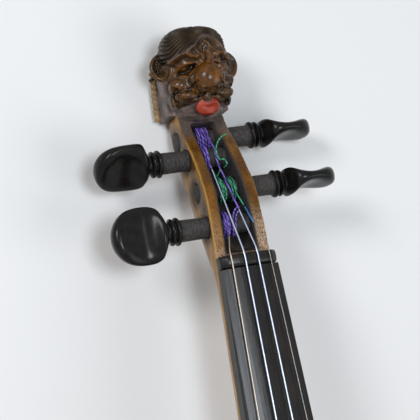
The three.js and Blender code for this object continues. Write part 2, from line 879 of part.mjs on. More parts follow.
// Raised and sunk forms of the face: x and y of the middle and the half sizes as shares of the
// mask's half width and of the head's height, and the rise as a share of the head's depth.
const faceFormShares = [
  { x: 0, y: 0.293, w: 0.44, h: 0.18, rise: 0.165 },
  { x: 0.21, y: 0.195, w: 0.19, h: 0.075, rise: 0.06 },
  { x: 0.5, y: 0.135, w: 0.42, h: 0.1, rise: 0.085 },
  { x: 0.66, y: 0.265, w: 0.28, h: 0.125, rise: 0.075 },
  { x: 0.54, y: 0.415, w: 0.26, h: 0.07, rise: -0.055 },
  { x: 0.54, y: 0.415, w: 0.15, h: 0.042, rise: 0.035 },
  { x: 0.5, y: 0.57, w: 0.34, h: 0.07, rise: 0.05 },
  { x: 0, y: 0.62, w: 0.14, h: 0.095, rise: 0.045 },
  { x: 0.2, y: 0.53, w: 0.12, h: 0.062, rise: 0.05 },
];
const formPower = 0.7;
const facePower = 1.15;
const hairPeakShare = 0.775;
const hairFallShare = 0.21;
const hairFallPower = 1.3;
const hairRiseShare = 0.03;
const blockRearShare = 0.8;

const maskWidth = smoothTable(maskWidthShares);
const blockWidth = smoothTable(blockWidthShares);
const middleLine = smoothTable(middleShares);
const rearLine = smoothTable(rearShares);

function faceHeight(u, v) {
  const crown = Math.sqrt(Math.max(0, 1 - u * u));
  const middle = -headRecess - middleLine(v) * headDepth;
  let z = lerp(-earPlane, Math.max(middle, -earPlane), Math.pow(crown, facePower));
  for (const form of faceFormShares) {
    for (const side of form.x ? [-1, 1] : [1]) {
      const distance = Math.hypot((u - side * form.x) / form.w, (v - form.y) / form.h);
      if (distance < 1) z += form.rise * headDepth * Math.pow(1 - distance * distance, formPower);
    }
  }
  const hairline = hairPeakShare - hairFallShare * Math.pow(Math.abs(u), hairFallPower);
  if (v > hairline) z += hairRiseShare * headDepth * crown * clamp((v - hairline) / hairRiseShare, 0, 1);
  return z;
}

function headBody() {
  const rings = [];
  for (let r = 0; r <= headRows; r++) {
    const v = r / headRows;
    const y = v * headHeight;
    const half = maskWidth(v) * headHalfWidth;
    const block = blockWidth(v) * headBlockHalfWidth;
    const rear = -rearLine(v) * headDepth;
    const ring = [];
    for (let i = 0; i <= headColumns; i++) {
      const u = Math.sin(lerp(-1, 1, i / headColumns) * Math.PI / 2);
      ring.push(vec3(u * half, y, faceHeight(u, v)));
    }
    const neckIn = Math.min(half, block);
    const step = (rear + earPlane) / 4;
    const side = [vec3(neckIn, y, -earPlane + step), vec3(block, y, -earPlane + 2 * step),
      vec3(block, y, rear - step / 2), vec3(block * blockRearShare, y, rear)];
    ring.push(...side, ...side.map((p) => vec3(-p.x, p.y, p.z)).reverse());
    rings.push(ring);
  }
  return loft(rings);
}

// The middle of an ear as shares of the mask's half width and of the height, half its turn as a
// share of a half circle, and the size of the web inside the rim as shares of the ear.
const earPlaceShares = { x: 0.9, y: 0.525 };
const earTurnShare = 0.62;
const earWebShares = { x: 1, y: 0.435, z: 0.7 };

function ear(side) {
  const z = -earPlane + 2 * earRimRadius;
  const centre = vec3(side * headHalfWidth * earPlaceShares.x, headHeight * earPlaceShares.y, z);
  const points = [];
  for (let i = 0; i <= earSteps; i++) {
    const angle = lerp(-earTurnShare, earTurnShare, i / earSteps) * Math.PI;
    const x = centre.x + side * earReach * Math.cos(angle);
    points.push(vec3(x, centre.y + Math.sin(angle) * earHeight / 2, centre.z));
  }
  const rim = tube(points, earRimRadius, earFacets, 1);
  const web = new THREE.SphereGeometry(1, 10, 6);
  web.scale(earWebShares.x * earReach, earWebShares.y * earHeight, earWebShares.z * earRimRadius);
  return [rim, web.translate(centre.x, centre.y, centre.z - earRimRadius)];
}

// The middles and half sizes of the tongue and the jaw under it, which hang over the pegbox's end,
// as shares of the mask's half width, the height and the depth.
const tongueShares = { w: 0.33, y: 0, h: 0.105, z: 0.3, d: 0.1 };
const jawShares = { w: 0.53, y: 0.02, h: 0.12, z: 0.345, d: 0.085 };

function mouthForm(shares) {
  const shape = new THREE.SphereGeometry(1, mouthFacets, mouthFacets / 2);
  shape.scale(shares.w * headHalfWidth, shares.h * headHeight, shares.d * headDepth);
  return shape.translate(0, shares.y * headHeight, -shares.z * headDepth);
}

function headGeometry() {
  const solid = joined(headBody(), ...ear(-1), ...ear(1), mouthForm(tongueShares), mouthForm(jawShares));
  return solid.translate(0, pegboxLength + glueGap, 0);
}

// Ribs, blocks and linings. The corner of each side is split by a line across its tip.

const lowerTips = [lowerBout[lowerBout.length - 1], waistBout[0]];
const upperTips = [waistBout[waistBout.length - 1], upperBout[0]];

function splitAt([below, above]) {
  const middle = below.clone().lerp(above, 0.5);
  const up = above.clone().sub(below).normalize();
  return { middle, up, down: up.clone().negate() };
}

const lowerSplit = splitAt(lowerTips);
const upperSplit = splitAt(upperTips);

const pastSplit = (points, split, direction) => clipped(points, split.middle, direction, glueGap / 2);
const pastCentre = (points) => clipped(points, vec2(0, 0), vec2(1, 0), glueGap / 2);

// The line a distance inside a bout's edge, stopping short of the corners' tips.
function boutLine(bout, distance) {
  if (bout === 'lower') {
    const line = pastSplit(pastCentre(offset(lowerBout, distance)), lowerSplit, lowerSplit.down);
    return stretch(line, 0, lengthOf(line) - overhang);
  }
  if (bout === 'waist') {
    const fromLower = pastSplit(offset(waistBout, distance), lowerSplit, lowerSplit.up);
    const line = pastSplit(fromLower, upperSplit, upperSplit.down);
    return stretch(line, overhang, lengthOf(line) - overhang);
  }
  const line = pastSplit(pastCentre(offset(upperBout, distance)), upperSplit, upperSplit.up);
  return stretch(line, overhang, lengthOf(line));
}

const blockShoulderShare = 0.35;
const blockTaperShare = 0.94;
const ribInside = overhang + ribThickness;
const ribFace = ribInside + glueGap;

function endButtonHole(radius) {
  const drill = new THREE.CylinderGeometry(radius, radius, 4 * blockDepth, knobFacets);
  return drill.translate(0, 0, -ribHeight / 2);
}

function ribGeometry(bout, side) {
  const outline = strip(boutLine(bout, overhang), boutLine(bout, ribInside));
  const points = side < 0 ? mirrored(outline) : outline;
  const rib = slab(points, -ribHeight, 0);
  if (bout === 'lower') return cut(rib, endButtonHole(buttonStemRadius + runningGap));
  if (bout === 'upper') return cut(rib, mortise(-ribHeight - cutOverrun, cutOverrun));
  return rib;
}

function cornerBlock(corner, side) {
  const [below, above] = corner === 'lower' ? ['lower', 'waist'] : ['waist', 'upper'];
  const belowLine = boutLine(below, ribFace);
  const aboveLine = boutLine(above, ribFace);
  const total = lengthOf(belowLine);
  const lowerLeg = stretch(belowLine, total - cornerBlockLeg, total);
  const upperLeg = stretch(aboveLine, 0, cornerBlockLeg);
  const [first, last] = [lowerLeg[0], upperLeg[upperLeg.length - 1]];
  const belly = vec2(Math.min(first.x, last.x) - cornerBlockBelly, (first.y + last.y) / 2);
  const points = [...lowerLeg, ...upperLeg, belly];
  return slab(side < 0 ? mirrored(points) : points, -ribHeight + glueGap, -glueGap);
}

function lowerBlock() {
  const line = boutLine('lower', ribFace).filter((p) => p.x < lowerBlockWidth / 2);
  const half = [...line, vec2(lowerBlockWidth / 2, ribFace + blockDepth * blockShoulderShare),
    vec2(lowerBlockWidth / 2 * blockTaperShare, ribFace + blockDepth)];
  const block = slab([...mirrored(half).reverse(), ...half], -ribHeight + glueGap, -glueGap);
  return cut(block, endButtonHole(buttonStemRadius + runningGap));
}

function upperBlock() {
  const line = boutLine('upper', ribFace).filter((p) => p.x < upperBlockWidth / 2);
  const inner = bodyLength - ribFace - upperBlockDepth;
  const half = [vec2(upperBlockWidth / 2 * blockTaperShare, inner),
    vec2(upperBlockWidth / 2, inner + upperBlockDepth * (1 - blockShoulderShare)), ...line];
  const block = slab([...half, ...mirrored(half).reverse()], -ribHeight + glueGap, -glueGap);
  return cut(block, mortise(-ribHeight - cutOverrun, cutOverrun));
}

// What each bout's lining stops short of, at its two ends.
const liningStops = {
  lower: [lowerBlockWidth / 2, cornerBlockLeg],
  waist: [cornerBlockLeg, cornerBlockLeg],
  upper: [cornerBlockLeg, upperBlockWidth / 2],
};

function liningGeometry(bout, side, plateSide) {
  const line = boutLine(bout, ribFace);
  const [start, end] = liningStops[bout];
  const outer = stretch(line, start + liningClearance, lengthOf(line) - end - liningClearance);
  const outline = strip(outer, offset(outer, liningThickness));
  const top = plateSide === 'top' ? -glueGap : -ribHeight + glueGap + liningHeight;
  return slab(side < 0 ? mirrored(outline) : outline, top - liningHeight, top);
}

function bassBar() {
  const middle = bodyLength / 2;
  const rings = [];
  for (let k = 0; k <= barSteps; k++) {
    const share = lerp(-1, 1, k / barSteps);
    const y = middle + share * bassBarLength / 2;
    const x = -bassBarOffset + share * bassBarWidth / 2;
    const height = lerp(bassBarHeight, bassBarEndHeight, share * share);
    const edges = [x - bassBarWidth / 2, x + bassBarWidth / 2];
    const top = Math.min(...edges.map((edge) => innerHeight(edge, y, topArchHeight))) - barSeat;
    const upper = edges.map((edge) => vec3(edge, y, top));
    const lower = edges.map((edge) => vec3(edge, y, top - height));
    rings.push([...upper, ...lower.reverse()]);
  }
  return loft(rings);
}

function soundPost() {
  const y = bridgeY - soundPostBehindBridge;
  const rim = [soundPostOffset - soundPostRadius, soundPostOffset + soundPostRadius];
  const top = Math.min(...rim.map((x) => innerHeight(x, y, topArchHeight))) - runningGap;
  const bottom = -ribHeight - Math.min(...rim.map((x) => innerHeight(x, y, backArchHeight))) + runningGap;
  const post = new THREE.CylinderGeometry(soundPostRadius, soundPostRadius, top - bottom, knobFacets);
  return welded(post.rotateX(Math.PI / 2).translate(soundPostOffset, y, (top + bottom) / 2));
}

// Plates

const fHoleShares = [[-0.36, 0.43], [-0.28, 0.49], [-0.16, 0.45], [-0.08, 0.27], [0, 0.02], [0.08, -0.22],
  [0.2, -0.43], [0.38, -0.5], [0.52, -0.46], [0.52, -0.38]];
const upperEyeShare = [-0.45, 0.42];
const lowerEyeShare = [0.44, -0.36];

function fHole(side) {
  const place = ([x, y]) => vec2(side * (fHoleCentre + x * fHoleWidth), bridgeY + y * fHoleLength);
  const path = new THREE.SplineCurve(fHoleShares.map(place)).getPoints(fHoleSteps);
  const widths = path.map((_, i) => fHoleTipWidth
    + (fHoleStemWidth - fHoleTipWidth) * Math.sin(Math.PI * i / (path.length - 1)) ** 2);
  const directions = normals(path);
  const edge = (sign) => path.map((p, i) => p.clone().addScaledVector(directions[i], sign * widths[i] / 2));
  const stem = slab(strip(edge(1), edge(-1)), -cutOverrun, topArchHeight + cutOverrun);
  const eye = (share, radius) => {
    const centre = place(share);
    const drill = new THREE.CylinderGeometry(radius, radius, 3 * topArchHeight, knobFacets);
    return drill.rotateX(Math.PI / 2).translate(centre.x, centre.y, 0);
  };
  return [stem, eye(upperEyeShare, fHoleUpperEyeRadius), eye(lowerEyeShare, fHoleLowerEyeRadius)];
}

function topPlate() {
  const saddleCut = box(-saddleWidth / 2 - runningGap, saddleWidth / 2 + runningGap, -cutOverrun,
    saddleLength + runningGap, -cutOverrun, edgeThickness + cutOverrun);
  const neckCut = mortise(-cutOverrun, edgeThickness + overstand);
  return cut(plate(topArchHeight), ...fHole(1), ...fHole(-1), saddleCut, neckCut);
}

function backPlate() {
  const button = [];
  for (let i = 0; i <= buttonArcSteps; i++) {
    const angle = Math.PI * i / buttonArcSteps;
    button.push(vec2(buttonHalfWidth * Math.cos(angle), bodyLength + buttonReach * Math.sin(angle)));
  }
  const root = bodyLength - edgePlatform;
  button.push(vec2(-buttonHalfWidth, root), vec2(buttonHalfWidth, root));
  const whole = joined(plate(backArchHeight), slab(button, 0, edgeThickness));
  return welded(whole.scale(1, 1, -1).translate(0, 0, -ribHeight));
}

// Bridge

const bridgeSideShares = [
  [0.9, 0.84], [0.93, 0.79], [0.82, 0.68], [0.88, 0.6], [0.98, 0.54], [0.9, 0.47], [0.7, 0.41],
  [0.62, 0.33], [0.68, 0.22], [0.9, 0.12], [1, 0.08],
];
const bridgeInnerShares = [[0.42, 0.09], [0.38, 0.16], [0.22, 0.24], [0, 0.27]];
const bridgeFootShares = [1, 0.72, 0.42];
const bridgeEyeShare = [0.5, 0.57];
const bridgeEyeSizeShare = [0.16, 0.09];
const bridgeHeartShare = [0, 0.52];
const bridgeHeartSizeShare = [0.2, 0.1];
const bridgeTop = topArchHeight + bridgeHeight;
const stringBridgeX = (i) => (i - 1.5) * stringSpacingAtBridge;
const bridgeCrownAt = (x) => bridgeTop - bridgeCrownRadius + Math.sqrt(bridgeCrownRadius ** 2 - x * x);

function bridgeGeometry() {
  const half = bridgeWidth / 2;
  const floor = (x) => archHeight(x, bridgeY, topArchHeight) + runningGap;
  const place = ([x, z]) => vec2(x * half, topArchHeight + z * bridgeHeight);
  const side = bridgeSideShares.map(place);
  const crown = [];
  for (let i = 0; i <= bridgeArcSteps; i++) {
    const x = lerp(-1, 1, i / bridgeArcSteps) * side[0].x;
    crown.push(vec2(x, bridgeCrownAt(x)));
  }
  const foot = bridgeFootShares.map((share) => vec2(share * half, floor(share * half)));
  const inner = bridgeInnerShares.map(place);
  const right = [...side.slice(1), ...foot, ...inner];
  const left = mirrored(right.slice(0, -1)).reverse();
  const shape = new THREE.Shape([...crown, ...right, ...left]);
  const opening = ([x, z], [w, h]) => {
    const hole = new THREE.Path();
    const centre = place([x, z]);
    hole.absellipse(centre.x, centre.y, w * half, h * bridgeHeight, 0, 2 * Math.PI, false, 0);
    shape.holes.push(hole);
  };
  const [eyeX, eyeZ] = bridgeEyeShare;
  opening([eyeX, eyeZ], bridgeEyeSizeShare);
  opening([-eyeX, eyeZ], bridgeEyeSizeShare);
  opening(bridgeHeartShare, bridgeHeartSizeShare);
  const geometry = new THREE.ExtrudeGeometry(shape, { depth: 1, bevelEnabled: false, curveSegments: 5 });
  const p = geometry.attributes.position;
  for (let i = 0; i < p.count; i++) {
    const share = clamp((p.getY(i) - topArchHeight) / bridgeHeight, 0, 1);
    const thickness = lerp(bridgeFootThickness, bridgeTopThickness, share);
    p.setXYZ(i, p.getX(i), bridgeY + (0.5 - p.getZ(i)) * thickness, p.getY(i));
  }
  return welded(geometry);
}

// Tailpiece, saddle, end button and gut

const tailEndY = saddleLength + tailEndGap;
const tailFrontY = tailEndY + tailpieceLength;
const tailTaperShare = 0.55;
const tailLipShare = 0.7;
const stringFanShare = 0.75;
const gutBoreShare = 0.62;
const gutBendShare = 0.6;
const tailShares = [
  [0, 0.9, 1], [0.04, 1, 1], [0.2, 0.9, 0.95], [0.45, 0.68, 0.8], [0.75, 0.56, 0.6], [0.96, 0.54, 0.5],
  [1, 0.44, 0.4],
];

function tailPoint(along, across) {
  const row = tailShares.findIndex(([share]) => share >= along);
  const [a, b] = [tailShares[Math.max(row - 1, 0)], tailShares[row]];
  const part = (along - a[0]) / Math.max(b[0] - a[0], Number.EPSILON);
  const narrow = tailpieceTailWidth / tailpieceWidth;
  const widthShare = lerp(a[1], b[1], part);
  const half = lerp(1, narrow / tailTaperShare, along) * widthShare * tailpieceWidth / 2;
  const crown = lerp(a[2], b[2], part) * tailpieceCrown;
  const height = lerp(tailpieceFrontHeight, tailpieceTailHeight, along);
  return vec3(across * half, lerp(tailFrontY, tailEndY, along), height - crown * across * across);
}

// Height of the tailpiece's top at a place given in the body's own lengths.
function tailTopAt(x, y) {
  const along = clamp((tailFrontY - y) / tailpieceLength, 0, 1);
  const edge = tailPoint(along, 1);
  return tailPoint(along, x / edge.x).z;
}

const tailHole = (i) => {
  const along = stringHoleInset / tailpieceLength;
  const across = stringFanShare * stringBridgeX(i) / (tailpieceWidth / 2);
  return tailPoint(along, across);
};

function tailpieceGeometry() {
  const rings = tailShares.map(([along]) => {
    const ring = [];
    for (let i = 0; i <= tailFacets; i++) ring.push(tailPoint(along, lerp(-1, 1, i / tailFacets)));
    const drop = tailpieceThickness * lerp(tailLipShare, 1, Math.min(1, along * 2));
    const under = ring.map((p) => vec3(p.x, p.y, p.z - drop)).reverse();
    return [...ring, ...under];
  });
  const places = [...[0, 1, 2].map(tailHole), tunerStudPlace()];
  const holes = places.map((p) => {
    const length = 4 * tailpieceThickness;
    const drill = new THREE.CylinderGeometry(stringHoleRadius, stringHoleRadius, length, drillFacets);
    return drill.rotateX(Math.PI / 2).translate(p.x, p.y, p.z);
  });
  const boreRadius = gutRadius + runningGap;
  const bores = [-1, 1].map((side) => {
    const drill = new THREE.CylinderGeometry(boreRadius, boreRadius, 4 * gutSpread, drillFacets);
    return drill.translate(side * gutSpread, tailEndY, gutStartZ);
  });
  return cut(loft(rings), ...holes, ...bores);
}

const gutStartZ = tailpieceTailHeight - tailpieceThickness * gutBoreShare;
const buttonZ = -ribHeight / 2;

function gutGeometry() {
  const overSaddle = saddleHeight + runningGap + gutRadius;
  const outside = -runningGap - gutRadius;
  const round = buttonStemRadius + runningGap + gutRadius;
  const inGroove = overhang - buttonGroove / 2;
  const half = [
    vec3(gutSpread, tailEndY + gutSpread, gutStartZ),
    vec3(gutSpread, tailEndY - gutRadius, gutStartZ),
    vec3(gutSpread, saddleLength / 2, overSaddle + gutRadius),
    vec3(gutSpread, runningGap, overSaddle),
    vec3(gutSpread, outside - gutRadius, saddleHeight * gutBendShare),
    vec3(gutSpread, outside - gutRadius, 0),
    vec3(round, inGroove - gutRadius / 2, buttonZ * gutBendShare),
    vec3(round, inGroove, buttonZ),
    vec3(round * Math.SQRT1_2, inGroove, buttonZ - round * Math.SQRT1_2),
  ];
  const left = half.map((p) => vec3(-p.x, p.y, p.z)).reverse();
  return tube([...half, vec3(0, inGroove, buttonZ - round), ...left], gutRadius, stringFacets, gutSteps);
}

// The saddle's rounded edges, as shares of its rounding: in from its face, and down from its top.
const saddleOuterShares = [[0, 1], [0.3, 0.3], [1, 0]];
const saddleInnerShares = [[0.4, 0], [0, 0.5]];

function saddleGeometry() {
  const under = (share) => saddleHeight - saddleRounding * share;
  const outer = saddleOuterShares.map(([y, z]) => [saddleRounding * y, under(z)]);
  const inner = saddleInnerShares.map(([y, z]) => [saddleLength - saddleRounding * y, under(z)]);
  const rows = [...outer, ...inner];
  const half = saddleWidth / 2;
  return loft(rows.map(([y, z]) => [vec3(-half, y, 0), vec3(-half, y, z - saddleRounding),
    vec3(-half + saddleRounding * 2, y, z), vec3(half - saddleRounding * 2, y, z),
    vec3(half, y, z - saddleRounding), vec3(half, y, 0)]));
}

const buttonTipShare = 0.92;
const buttonHeadShares = [[0.8, 0], [1, 0.25], [1, 0.5], [0.9, 0.8]];

function endButton() {
  const profile = [
    vec2(0, -buttonStemLength),
    vec2(buttonStemRadius * buttonTipShare, -buttonStemLength),
    vec2(buttonStemRadius, buttonGroove),
    ...buttonHeadShares.map(([r, y]) => vec2(buttonHeadRadius * r, buttonGroove + buttonHeadLength * y)),
    vec2(buttonFaceRadius, buttonGroove + buttonHeadLength),
    vec2(0, buttonGroove + buttonHeadLength),
  ];
  return turned(profile, endButtonFacets).rotateX(Math.PI).translate(0, overhang, buttonZ);
}

// Fine tuner

const tunerBase = tailHole(3);
const tunerX = tunerBase.x - tunerWidth / 4;
const tunerLeverHalf = tunerWidth / 2 - tunerCheekThickness - runningGap;
const tunerFrontY = tunerBase.y + tunerLength * tunerFrontShare;
const tunerSides = [tunerX - tunerWidth / 2, tunerX + tunerWidth / 2];
const tunerFloor = Math.max(...tunerSides.map((x) => tailTopAt(x, tunerFrontY)));
const tunerNutTop = tailTopAt(tunerX + tunerNutRadius, tunerBase.y) - tailpieceThickness - runningGap;
const tunerPinY = tunerFrontY - tunerPinInset;
const tunerPinZ = tunerFloor + tunerHeight / 2;
const tunerScrewY = tunerFrontY - tunerLength + tunerBossLength / 2;

function tunerStudPlace() {
  return vec3(tunerX, tunerBase.y, tailTopAt(tunerX, tunerBase.y));
}

// A disc or a ring round the stud that holds the tuner on the tailpiece.
function tunerRound(radius, low, high) {
  const shape = new THREE.CylinderGeometry(radius, radius, high - low, tunerFacets);
  return shape.rotateX(Math.PI / 2).translate(tunerX, tunerBase.y, (low + high) / 2);
}

// A pin or a hole that runs across the tuner where its lever hinges.
function tunerCrossRound(radius, length) {
  const shape = new THREE.CylinderGeometry(radius, radius, length, tunerFacets);
  return shape.rotateZ(Math.PI / 2).translate(tunerX, tunerPinY, tunerPinZ);
}

function tunerNut() {
  const low = tunerNutTop - tunerNutThickness;
  const hole = tunerRound(tunerStudRadius + runningGap, low - cutOverrun, tunerNutTop + cutOverrun);
  return cut(tunerRound(tunerNutRadius, low, tunerNutTop), hole);
}

function tunerBody() {
  const [x0, x1] = tunerSides;
  const back = tunerFrontY - tunerLength;
  const bottom = tunerFloor + runningGap;
  const top = tunerFloor + tunerHeight;
  const base = box(x0, x1, back, tunerFrontY, bottom, bottom + tunerBaseThickness);
  const cheeks = [x0, x1 - tunerCheekThickness]
    .map((x) => box(x, x + tunerCheekThickness, back, tunerFrontY, bottom, top));
  const boss = box(x0, x1, back, back + tunerBossLength, top - tunerBossThickness, top);
  const bore = tunerScrewRadius + runningGap;
  const drill = new THREE.CylinderGeometry(bore, bore, 2 * tunerHeight, tunerFacets);
  drill.rotateX(Math.PI / 2).translate(tunerX, tunerScrewY, top + tunerBossThickness);
  const pinHole = tunerCrossRound(tunerPinRadius + runningGap, 2 * tunerWidth);
  const studEnd = tunerNutTop - 2 * tunerNutThickness;
  const stud = tunerRound(tunerStudRadius, studEnd, tunerFloor + tunerBaseThickness);
  return cut(joined(base, ...cheeks, boss, stud), drill, pinHole);
}

function tunerLever() {
  const [x0, x1] = [tunerX - tunerLeverHalf, tunerX + tunerLeverHalf];
  const half = tunerArmThickness / 2;
  const pin = tunerCrossRound(tunerPinRadius, tunerWidth);
  const arm = box(x0, x1, tunerScrewY - tunerScrewRadius, tunerPinY, tunerPinZ - half, tunerPinZ + half);
  const hook = box(x0, x1, tunerPinY - half, tunerPinY + half, tunerPinZ, tunerPinZ + tunerHookHeight);
  return joined(arm, pin, hook);
}

const screwTipShares = [[0.7, 0], [1, 0.3]];
const knobWaistShare = 0.6;
const knobShares = [[0.9, 0], [1, 0.15], [1, 0.85], [0.85, 1]];

function tunerScrew() {
  const tip = tunerPinZ + tunerArmThickness / 2 + runningGap;
  const collar = tunerFloor + tunerHeight + runningGap;
  const knob = collar + tunerStem;
  const waist = tunerKnobRadius * knobWaistShare;
  const profile = [
    vec2(0, tip),
    ...screwTipShares.map(([r, y]) => vec2(tunerScrewRadius * r, tip + tunerScrewRadius * y)),
    vec2(tunerScrewRadius, collar),
    vec2(waist, collar),
    vec2(waist, knob),
    ...knobShares.map(([r, y]) => vec2(tunerKnobRadius * r, knob + tunerKnobHeight * y)),
    vec2(0, knob + tunerKnobHeight),
  ];
  const shape = turned(profile, knobFacets).rotateX(Math.PI / 2);
  return shape.translate(tunerX, tunerScrewY, 0);
}

// Strings

function stringPoints(i) {
  const radius = stringRadii[i];
  const clear = radius + stringRest;
  const peg = pegs[i];
  const inner = pegboxHalfWidth(peg.y) - cheekThickness;
  const silk = peg.silkShares[peg.silkShares.length - 1];
  const pegX = inner * (silk[0] + silk[1]) / 2;
  const lead = pegRadiusAt(pegboxHalfWidth(peg.y)) + runningGap + silkThickness + clear;
  const nutX = stringNutX(i);
  const points = [
    fromNeck(pegX, peg.y + lead * pegLeadShare, peg.z + lead),
    fromNeck(pegX, peg.y - lead * pegLeadShare, peg.z + lead),
  ];
  if (peg.over) {
    const other = pegs[peg.over];
    const over = pegRadiusAt(pegboxHalfWidth(other.y)) + 2 * clear;
    const share = (other.y - nutLength) / (peg.y - nutLength);
    const x = lerp(nutX, pegX, share);
    const [before, after] = [other.y + over / 2, other.y - over / 2];
    points.splice(1, 1, fromNeck(x, before, other.z + over), fromNeck(x, after, other.z + over));
  }
  const nutZ0 = nutTop(nutX) + clear;
  points.push(fromNeck(nutX, nutLength + nutRounding, nutZ0 - nutRounding / 2));
  points.push(fromNeck(nutX, nutLength - nutRounding, nutZ0));
  points.push(fromNeck(nutX, nutRounding, nutZ0));
  const bridgeX = stringBridgeX(i);
  const bridgeZ = bridgeCrownAt(bridgeX) + clear;
  const nutPoint = points[points.length - 1];
  const bridgeFront = vec3(bridgeX, bridgeY + bridgeTopThickness, bridgeZ);
  for (const share of stringPlaceShares) points.push(nutPoint.clone().lerp(bridgeFront, share));
  points.push(bridgeFront, vec3(bridgeX, bridgeY - bridgeTopThickness, bridgeZ));
  return [...points, ...stringTail(i, clear)];
}

function stringTail(i, clear) {
  if (i === 3) {
    const z = tunerPinZ + tunerHookHeight - 2 * clear;
    const front = tunerPinY + tunerArmThickness / 2;
    const back = tunerPinY - tunerArmThickness / 2 - tunerLoopSlack;
    const side = tunerLeverHalf + clear;
    return [
      vec3(tunerX - clear, front + 2 * side, z),
      vec3(tunerX - side, front, z),
      vec3(tunerX - side, back, z),
      vec3(tunerX, back - 2 * clear, z),
      vec3(tunerX + side, back, z),
      vec3(tunerX + side, front, z),
      vec3(tunerX + 2 * clear, front + side, z),
    ];
  }
  const hole = tailHole(i);
  const edge = tailPoint(0, hole.x / (tailpieceWidth / 2));
  return [
    vec3(hole.x, tailFrontY + clear, edge.z + 2 * clear),
    vec3(hole.x, (tailFrontY + hole.y) / 2, hole.z + 2 * clear),
    vec3(hole.x, hole.y + stringHoleRadius / 3, hole.z + clear),
    vec3(hole.x, hole.y, hole.z - tailpieceThickness),
  ];
}

function stringGeometry(i) {
  return tube(stringPoints(i), stringRadii[i], stringFacets, stringSteps);
}

// Assembly

const violin = new THREE.Group();
const neckGroup = new THREE.Group();
neckGroup.applyMatrix4(neckMatrix);
violin.add(neckGroup);

function add(name, geometry, look, parent = violin) {
  const mesh = new THREE.Mesh(geometry, new THREE.MeshStandardMaterial(looks[look]));
  mesh.name = name;
  parent.add(mesh);
  return mesh;
}

const sides = [['bass', -1], ['treble', 1]];

add('top_plate', topPlate(), 'spruce');
add('back_plate', backPlate(), 'maple');
for (const [sideName, side] of sides) {
  for (const bout of ['lower', 'waist', 'upper']) {
    add(`${bout}_rib_${sideName}`, ribGeometry(bout, side), 'maple');
    for (const plateSide of ['top', 'back']) {
      add(`${bout}_${plateSide}_lining_${sideName}`, liningGeometry(bout, side, plateSide), 'bareWood');
    }
  }
  for (const corner of ['lower', 'upper']) {
    add(`${corner}_corner_block_${sideName}`, cornerBlock(corner, side), 'bareWood');
  }
}
add('lower_block', lowerBlock(), 'bareWood');
add('upper_block', upperBlock(), 'bareWood');
add('bass_bar', bassBar(), 'bareWood');
add('sound_post', soundPost(), 'bareWood');
add('bridge', bridgeGeometry(), 'bridgeMaple');
add('tailpiece', tailpieceGeometry(), 'ebony');
add('tailgut', gutGeometry(), 'gut');
add('saddle', saddleGeometry(), 'ebony');
add('end_button', endButton(), 'ebony');
add('fine_tuner_body', tunerBody(), 'steel');
add('fine_tuner_lever', tunerLever(), 'steel');
add('fine_tuner_screw', tunerScrew(), 'steel');
add('fine_tuner_nut', tunerNut(), 'steel');

add('neck', neckGeometry(), 'maple', neckGroup);
add('head', headGeometry(), 'carving', neckGroup);
add('fingerboard', fingerboardGeometry(), 'ebony', neckGroup);
add('nut', nutGeometry(), 'ebony', neckGroup);
pegs.forEach((peg, i) => {
  const place = pegMatrix(peg);
  add(`${peg.name}_peg`, pegGeometry(peg).applyMatrix4(place), 'ebony', neckGroup);
  silkGeometry(peg).forEach((sleeve, k) => {
    const name = k ? `${peg.name}_peg_winding_end` : `${peg.name}_peg_winding`;
    add(name, sleeve.applyMatrix4(place), 'silk', neckGroup);
  });
  add(`${peg.name}_string`, stringGeometry(i), 'steel');
});

// The whole is moved so that it stands on z = 0, centred over the origin.
const group = new THREE.Group();
group.add(violin);
const bounds = new THREE.Box3().setFromObject(group, true);
const middle = bounds.getCenter(vec3());
violin.position.set(-middle.x, -middle.y, -bounds.min.z);

export default group;
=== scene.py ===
"""A folk violin with a carved lion head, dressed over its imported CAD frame."""
import json
import math

import bmesh
import bpy
import numpy as np
from mathutils import Matrix, Vector
from mathutils.bvhtree import BVHTree


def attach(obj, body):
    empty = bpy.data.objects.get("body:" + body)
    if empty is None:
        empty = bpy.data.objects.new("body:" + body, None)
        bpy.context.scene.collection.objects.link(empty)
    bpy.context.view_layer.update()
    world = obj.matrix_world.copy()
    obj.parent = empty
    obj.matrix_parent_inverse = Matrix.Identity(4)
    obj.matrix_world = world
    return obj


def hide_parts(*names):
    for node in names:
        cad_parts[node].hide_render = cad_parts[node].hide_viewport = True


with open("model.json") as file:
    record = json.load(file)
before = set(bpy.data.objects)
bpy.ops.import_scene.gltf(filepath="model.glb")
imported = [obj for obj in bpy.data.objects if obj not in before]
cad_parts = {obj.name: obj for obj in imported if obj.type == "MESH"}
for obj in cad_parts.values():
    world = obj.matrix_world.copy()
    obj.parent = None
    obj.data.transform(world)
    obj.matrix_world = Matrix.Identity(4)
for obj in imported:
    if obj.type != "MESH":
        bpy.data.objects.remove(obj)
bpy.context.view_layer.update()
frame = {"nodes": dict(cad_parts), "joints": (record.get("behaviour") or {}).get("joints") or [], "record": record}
NODES = frame["nodes"]
MM = 0.001
SCENE = bpy.context.scene

